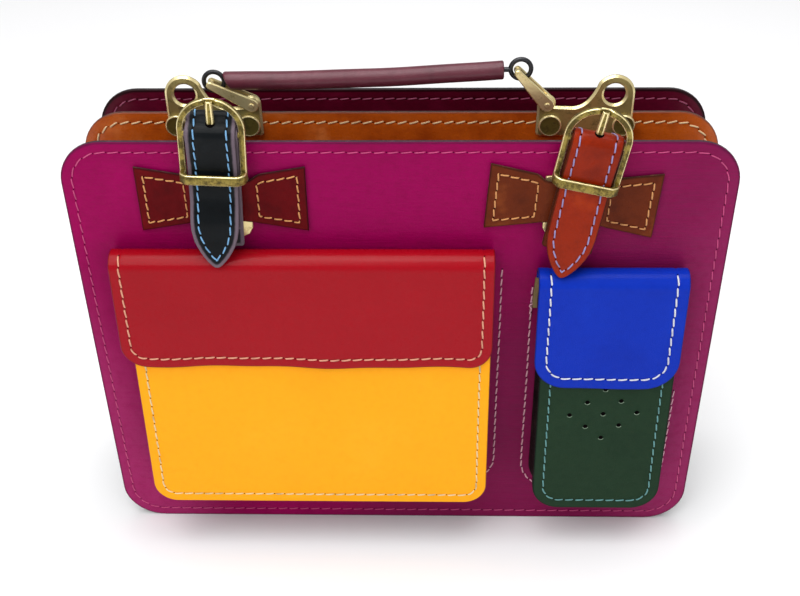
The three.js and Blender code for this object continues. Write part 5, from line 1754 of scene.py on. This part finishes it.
@dataclass
class HandleMounts:
    """The brass plates on the divider, their rivets and the forked links."""

    rivet_places: tuple[float, ...] = (84.6, 125.6)
    rivet_height: float = 271.6
    plate_front: float = 37.7
    divider_back: float = 43.6
    seat: float = 0.3
    head_radius: float = 6.4
    head_height: float = 1.8
    shank_radius: float = 2.0
    tail_height: float = 1.2
    plate_thickness: float = 3.0
    plate_bottom: float = 264.0
    inner_edge: float = 77.0
    corner: float = 2.5
    outer_corner: float = 5.0
    edge_height: float = 282.0
    sweep: float = 14.0
    eye: tuple[float, float] = (119.4, 289.9)
    eye_radius: float = 6.1
    eye_rim: float = 5.0
    pin: tuple[float, float] = (82.2, 284.3)
    pin_radius: float = 1.6
    clearance: float = 0.3
    lug_radius: float = 5.0
    bevel: float = 1.2
    loose: float = 0.5
    link_angles: dict[str, float] = field(default_factory=lambda: {"left": 151.5, "right": 132.0})
    link_length: float = 25.0
    link_wide: float = 4.0
    link_narrow: float = 2.1
    arm_thickness: float = 1.8
    arm_bevel: float = 0.55
    bar_radius: float = 1.6
    bar_short: float = 0.2
    pin_proud: float = 0.6

    def build(self) -> None:
        """Make the plates, the links and the rivets."""
        for side in Side:
            name = side.name.lower()
            self.plate(side)
            self.link(side)
            for place, x in zip(("inner", "outer"), self.rivet_places):
                self.rivet(f"rivet_{name}_{place}", side.value * x)

    def ring_of(self, x: float, z: float, radius: float, start: float = 0.0, end: float = 360.0) -> Array:
        """Return points of a circle, or of an arc from one angle to another, in the plates' plane."""
        count = 40 if end - start == 360.0 else 41
        angle = np.radians(np.linspace(start, end, 41)[:count])
        return np.stack([x + radius * np.cos(angle), z + radius * np.sin(angle)], -1)

    def plate(self, side: Side) -> None:
        """Make a plate: an eye on the outer end, a swept upper edge and a lug on the inner end.

        The sweep is the quadratic curve (1 - t)^2 crown + 2 t (1 - t) dip + t^2 end from the eye's crown.
        """
        eye, pin, foot, edge = self.eye, self.pin, self.plate_bottom, self.edge_height
        eye_outer, corner = self.eye_radius + self.eye_rim, self.outer_corner
        outer_foot = self.ring_of(eye[0] + eye_outer - corner, foot + corner, corner, -90.0, 0.0)
        crown = self.ring_of(*eye, eye_outer, 0.0, 144.0)
        t = np.linspace(0, 1, 25)[:, None]
        dip, end = np.array([eye[0] - self.sweep, edge]), np.array([pin[0] + self.sweep, edge])
        sweep = (1 - t) ** 2 * crown[-1] + 2 * t * (1 - t) * dip + t**2 * end
        lug = self.ring_of(*pin, self.lug_radius, -22.0, 180.0)
        inner_foot = self.ring_of(
            self.inner_edge + self.corner, foot + self.corner, self.corner, 180.0, 270.0
        )
        loops = [np.concatenate([outer_foot, crown, sweep[1:], lug, inner_foot])]
        loops += [self.ring_of(*eye, self.eye_radius), self.ring_of(*pin, self.pin_radius + self.clearance)]
        rivet_hole = self.shank_radius + self.clearance
        loops += [self.ring_of(x, self.rivet_height, rivet_hole) for x in self.rivet_places]
        maker = MeshMaker()
        middle = self.plate_front + self.plate_thickness / 2

        def place(points: Array) -> Array:
            """Stand the plate up at its side of the bag."""
            return np.stack([side.value * points[:, 0], middle + points[:, 2], points[:, 1]], -1)

        maker.slab(loops, self.plate_thickness, self.bevel, place)
        name = f"handle_plate_{side.name.lower()}"
        settle(maker.build(f"{name}_metal", [PLATE_BRASS, RUBBED_BRASS], 25.0), BRASS.name, name)

    def link(self, side: Side) -> None:
        """Make a link: two tapered arms, a pin with low heads through the lug and a bar for the ring."""
        angle = math.radians(self.link_angles[side.name.lower()])
        along = np.array([math.cos(angle), math.sin(angle)])
        up = np.array([-along[1], along[0]])
        start = np.array([side.value * self.pin[0], self.pin[1]])
        middle = self.plate_front + self.plate_thickness / 2
        arm = np.concatenate([
            self.ring_of(0.0, 0.0, self.link_wide, 90.0, 270.0),
            self.ring_of(self.link_length, 0.0, self.link_narrow, -90.0, 90.0),
        ])
        maker = MeshMaker()
        inner = self.plate_thickness / 2 + self.loose
        for way in (-1, 1):
            level = middle + way * (inner + self.arm_thickness / 2)

            def place(points: Array) -> Array:
                """Lay the arm along the link at its level."""
                flat = start + points[:, :1] * along + points[:, 1:2] * up
                return np.stack([flat[:, 0], level + points[:, 2], flat[:, 1]], -1)

            maker.slab([arm], self.arm_thickness, self.arm_bevel, place)
        outer = inner + self.arm_thickness
        for far, radius, reach in (
            (0.0, self.pin_radius, outer + self.pin_proud),
            (self.link_length, self.bar_radius, outer - self.bar_short),
        ):
            x, z = start + far * along
            half = np.array([[0.0, -reach], [0.7 * radius, -reach], [radius, 0.3 - reach]])
            profile = np.concatenate([half, half[::-1] * (1, -1)])
            revolved(maker, profile, np.array([x, middle, z]), Metal.BODY, 20)
        name = f"link_{side.name.lower()}"
        settle(maker.build(f"{name}_metal", [PALE_BRASS, RUBBED_BRASS], 25.0), BRASS.name, name, body=name)

    def rivet(self, node: str, x: float) -> None:
        """Make a rivet: a flat head with a bright rim, a shank and a small tail behind the divider."""
        r, h = self.head_radius, self.head_height
        front, back = self.plate_front - self.seat, self.divider_back + self.seat
        middle = np.array([x, 0.0, self.rivet_height])
        face = np.array([[0.0, front - h - 0.05], [0.5 * r, front - h - 0.02], [0.86 * r, front - h]])
        rim = np.array([
            [0.86 * r, front - h], [0.9 * r, front - h - 0.12], [0.96 * r, front - h + 0.05],
            [r, front - h + 0.45], [r, front - 0.2], [r - 0.2, front],
        ])
        tail = back + self.tail_height
        rest = np.array([
            [r - 0.2, front], [self.shank_radius, front], [self.shank_radius, back], [0.68 * r, back],
            [0.68 * r, back + 0.4], [0.55 * r, tail], [0.0, tail],
        ])
        maker = MeshMaker()
        revolved(maker, face, middle, Metal.BODY)
        revolved(maker, rim, middle, Metal.BRIGHT)
        revolved(maker, rest, middle, Metal.BODY)
        settle(maker.build(f"{node}_metal", [DISC_BRASS, RUBBED_BRASS], 30.0), BRASS.name, node)


@dataclass
class Handle:
    """The leather grip and the steel rings in its ends.

    Places are drawn along the handle from the left ring's centre and tilted about Y.
    """

    left_ring: tuple[float, float, float] = (-102.27, 39.2, 297.529)
    right_ring: tuple[float, float, float] = (66.972, 39.2, 304.479)
    ring_inner: float = 4.3
    wire: float = 2.6
    shank: float = 8.0
    shank_radius: float = 1.4
    radius: float = 5.1
    sag: float = 1.6
    left_room: float = 9.6
    right_room: float = 9.4

    def carried(self, points: Array) -> Array:
        """Turn places along the handle into the drawing frame."""
        start, end = np.array(self.left_ring), np.array(self.right_ring)
        along = unit(end - start)
        up = np.array([-along[2], 0.0, along[0]])
        return start + points[..., :1] * along + points[..., 1:2] * (0, 1, 0) + points[..., 2:] * up

    def span(self) -> float:
        """Distance between the rings' centres."""
        return float(np.linalg.norm(np.array(self.right_ring) - np.array(self.left_ring)))

    def build(self) -> None:
        """Make the grip and the rings."""
        self.grip()
        for side in Side:
            self.ring(side)

    def grip(self) -> None:
        """Make the grip.

        The skin is a tube whose middle sags by 4 sag t (1 - t), rolled in at both ends to a bore round the
        shank, with a low ridge where the leather overlaps underneath.
        """
        start, end = self.left_room, self.span() - self.right_room
        lip = np.array(
            [[7.0, 0.0], [7.0, 1.6], [0.6, 1.7], [0.0, 3.0], [-0.1, 4.2], [0.15, 4.85], [0.7, 5.1]]
        )
        middle = np.linspace(start + 2.5, end - 2.5, 60)
        x = np.concatenate([start + lip[:, 0], middle, end - lip[::-1, 0]])
        r = np.concatenate([lip[:, 1], np.full(60, self.radius), lip[::-1, 1]])
        share = np.clip((x - start) / (end - start), 0, 1)
        sag = -4 * self.sag * share * (1 - share) + 0.12 * np.sin(x / 9.0)
        angle = np.linspace(0, FULL_TURN, 36, endpoint=False)
        ridge = 1 + 0.05 * np.exp(-(((angle - 1.42 * math.pi) / 0.09) ** 2))
        reach = r[:, None] * np.where(r[:, None] > 4.5, ridge, 1.0)
        shift = -2.0 * (1 + np.sin(angle)) * np.clip(1 - (x[:, None] - start) / 14.0, 0, 1)
        points = np.stack(
            [x[:, None] + shift, reach * np.cos(angle), sag[:, None] + reach * np.sin(angle)], -1
        )
        maker = MeshMaker()
        maker.grid(self.carried(points), Skin.FACE, 5.0, wrap=True)
        settle(maker.build("handle_grip_leather", [PLUM], 60.0), PLUM.name, "handle_grip", body="handle")

    def ring(self, side: Side) -> None:
        """Make a ring: a round wire hoop and a shank that ends inside the grip."""
        middle = self.ring_inner + self.wire / 2
        angle = np.linspace(0, FULL_TURN, 40, endpoint=False)
        hoop = np.stack([middle * np.cos(angle), 0 * angle, middle * np.sin(angle)], -1)
        room = self.left_room if side is Side.LEFT else self.right_room
        x = np.array([middle, middle, room + self.shank - 0.4, room + self.shank, room + self.shank])
        radii = np.array([0.0, self.shank_radius, self.shank_radius, 0.8 * self.shank_radius, 0.0])
        shank = np.stack([x, 0 * x, 0 * x], -1)
        base = 0.0
        if side is Side.RIGHT:
            hoop, shank, base = hoop * (-1, 1, 1), shank * (-1, 1, 1), self.span()
        maker = MeshMaker()
        tube(
            maker, self.carried(hoop + (base, 0, 0)), np.full(40, self.wire / 2), Metal.BODY, 16, closed=True
        )
        tube(maker, self.carried(shank + (base, 0, 0)), radii, Metal.BODY, 14)
        name = f"handle_ring_{side.name.lower()}"
        settle(maker.build(f"{name}_metal", [STEEL], 60.0), STEEL.name, name, body="handle")


@dataclass
class Studio:
    """The floor, the soft lights and the camera at the photograph's viewing angle."""

    eye: tuple[float, float, float] = (0.017, -0.5795, 0.562)
    pitch: float = 35.0
    yaw: float = -1.76
    roll: float = -0.86
    lens: float = 51.57
    sensor: float = 36.0
    floor: float = 3.0
    sky: float = 0.42

    def build(self) -> None:
        """Make the floor, the lights and the camera."""
        half = self.floor
        mesh = bpy.data.meshes.new("floor")
        corners = [(-half, -half, 0), (half, -half, 0), (half, half, 0), (-half, half, 0)]
        mesh.from_pydata(corners, [], [(0, 1, 2, 3)])
        mesh.materials.append(Wardrobe.take(PAPER))
        floor = bpy.data.objects.new("floor", mesh)
        bpy.context.scene.collection.objects.link(floor)
        self.light("key", (-0.7, -1.0, 1.9), (0.0, 0.0, 0.12), 1.6, 25.0)
        self.light("top", (0.1, 0.1, 2.1), (0.0, 0.0, 0.1), 1.6, 30.0)
        self.light("fill", (1.2, -1.6, 0.9), (0.0, 0.0, 0.12), 1.4, 6.0)
        world = bpy.data.worlds.new("studio")
        world.use_nodes = True
        sky = world.node_tree.nodes["Background"].inputs
        sky["Color"].default_value, sky["Strength"].default_value = (1.0, 1.0, 1.0, 1.0), self.sky
        bpy.context.scene.world = world
        bpy.context.scene.view_settings.view_transform = "Standard"
        self.camera()

    def light(self, name: str, place: tuple, target: tuple, size: float, power: float) -> None:
        """Add a square area light.

        Args:
            name: Its name.
            place: Where it hangs, in metres.
            target: What it points at.
            size: Its side.
            power: Its power in watts.
        """
        data = bpy.data.lights.new(name, "AREA")
        data.size, data.energy = size, power
        lamp = bpy.data.objects.new(name, data)
        bpy.context.scene.collection.objects.link(lamp)
        lamp.location = place
        aim = np.array(target) - np.array(place)
        tip = math.acos(-aim[2] / np.linalg.norm(aim))
        lamp.rotation_euler = (tip, 0.0, math.atan2(aim[1], aim[0]) - math.pi / 2)

    def camera(self) -> None:
        """Add the camera: forward from pitch and yaw, then the roll about the line of sight."""
        p, y, r = (math.radians(v) for v in (self.pitch, self.yaw, self.roll))
        forward = np.array([math.sin(y) * math.cos(p), math.cos(y) * math.cos(p), -math.sin(p)])
        right = np.array([math.cos(y), -math.sin(y), 0.0])
        up = np.cross(right, forward)
        right, up = math.cos(r) * right + math.sin(r) * up, -math.sin(r) * right + math.cos(r) * up
        data = bpy.data.cameras.new("camera")
        data.lens, data.sensor_width = self.lens, self.sensor
        eye = bpy.data.objects.new("camera", data)
        bpy.context.scene.collection.objects.link(eye)
        pose = np.eye(4)
        pose[:3, :3] = np.stack([right, up, -forward], -1)
        pose[:3, 3] = self.eye
        eye.matrix_world = Matrix(pose.tolist())
        bpy.context.scene.camera = eye


LARGE_POCKET = Pocket(
    "large", YELLOW, BLACK_EDGE, SAND_THREAD, RED, DARK_EDGE, ROSE_THREAD,
    centre=-51.5, width=209.0, bottom=39.0, corner=14.0, depth=26.0, mouth=16.0, flap_shift=-2.7,
    flap_width=216.0,
    crest=217.0, flap_length=72.5, flap_corner=14.0, seam=6.0, flap_seam=6.0, hem=0.7,
)
SMALL_POCKET = Pocket(
    "small", GREEN, BLACK_EDGE, TEAL_THREAD, BLUE, DARK_EDGE, WHITE_THREAD,
    centre=122.0, width=79.0, bottom=33.0, corner=17.0, depth=24.0, mouth=15.0, flap_shift=-1.2,
    flap_width=84.5,
    crest=204.5, flap_length=76.0, flap_corner=19.0, seam=6.5, flap_seam=7.0, hem=0.3, punched=True,
    raw_end=True, right_seam_top=115.0,
)
BOWS = (
    Bow("left", MAROON, DARK_EDGE, TAN_THREAD, centre=-96.8, middle=246.0, length=93.3, drop=0.0),
    Bow("right", BROWN, BROWN_EDGE, TAN_THREAD, centre=95.5, middle=244.8, length=93.7, drop=4.0),
)
CLOSURES = (
    Closure(
        "left", BLACK, BLACK_EDGE, SKY_THREAD, BLACK, MAUVE_EDGE, bar_x=-97.0, bar_z=290.0, tilt=2.5,
        turn=0.0, chape_end=70.0, tip=77.5, tip_depth=9.3,
        crest=(
            (-0.38, 0.163), (-0.13, 0.243), (0.18, 0.302), (0.337, 0.386), (0.432, 0.48), (0.621, 0.515),
            (0.8, 0.455), (0.853, 0.322),
        ),
        lean=0.0, seam=4.4,
    ),
    Closure(
        "right", RUST, RUST_EDGE, LILAC_THREAD, BROWN, RUST_EDGE, bar_x=104.4, bar_z=284.8, tilt=9.5,
        turn=6.0, chape_end=69.0, tip=82.0, tip_depth=6.0,
        crest=((-0.358, 0.168), (-0.137, 0.228), (0.137, 0.228), (0.379, 0.158), (0.589, 0.079)), lean=4.0,
        seam=3.7,
    ),
)


def main() -> None:
    """Dress the satchel and set the stage."""
    logging.basicConfig(level=logging.INFO, format="%(name)s: %(message)s")
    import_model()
    parts: list[Callable[[], None]] = [Panels().build, LARGE_POCKET.build, SMALL_POCKET.build]
    parts += [bow.build for bow in BOWS]
    parts += [closure.build for closure in CLOSURES]
    parts += [HandleMounts().build, Handle().build, Studio().build]
    for build in parts:
        build()


if __name__ == "__main__":
    main()
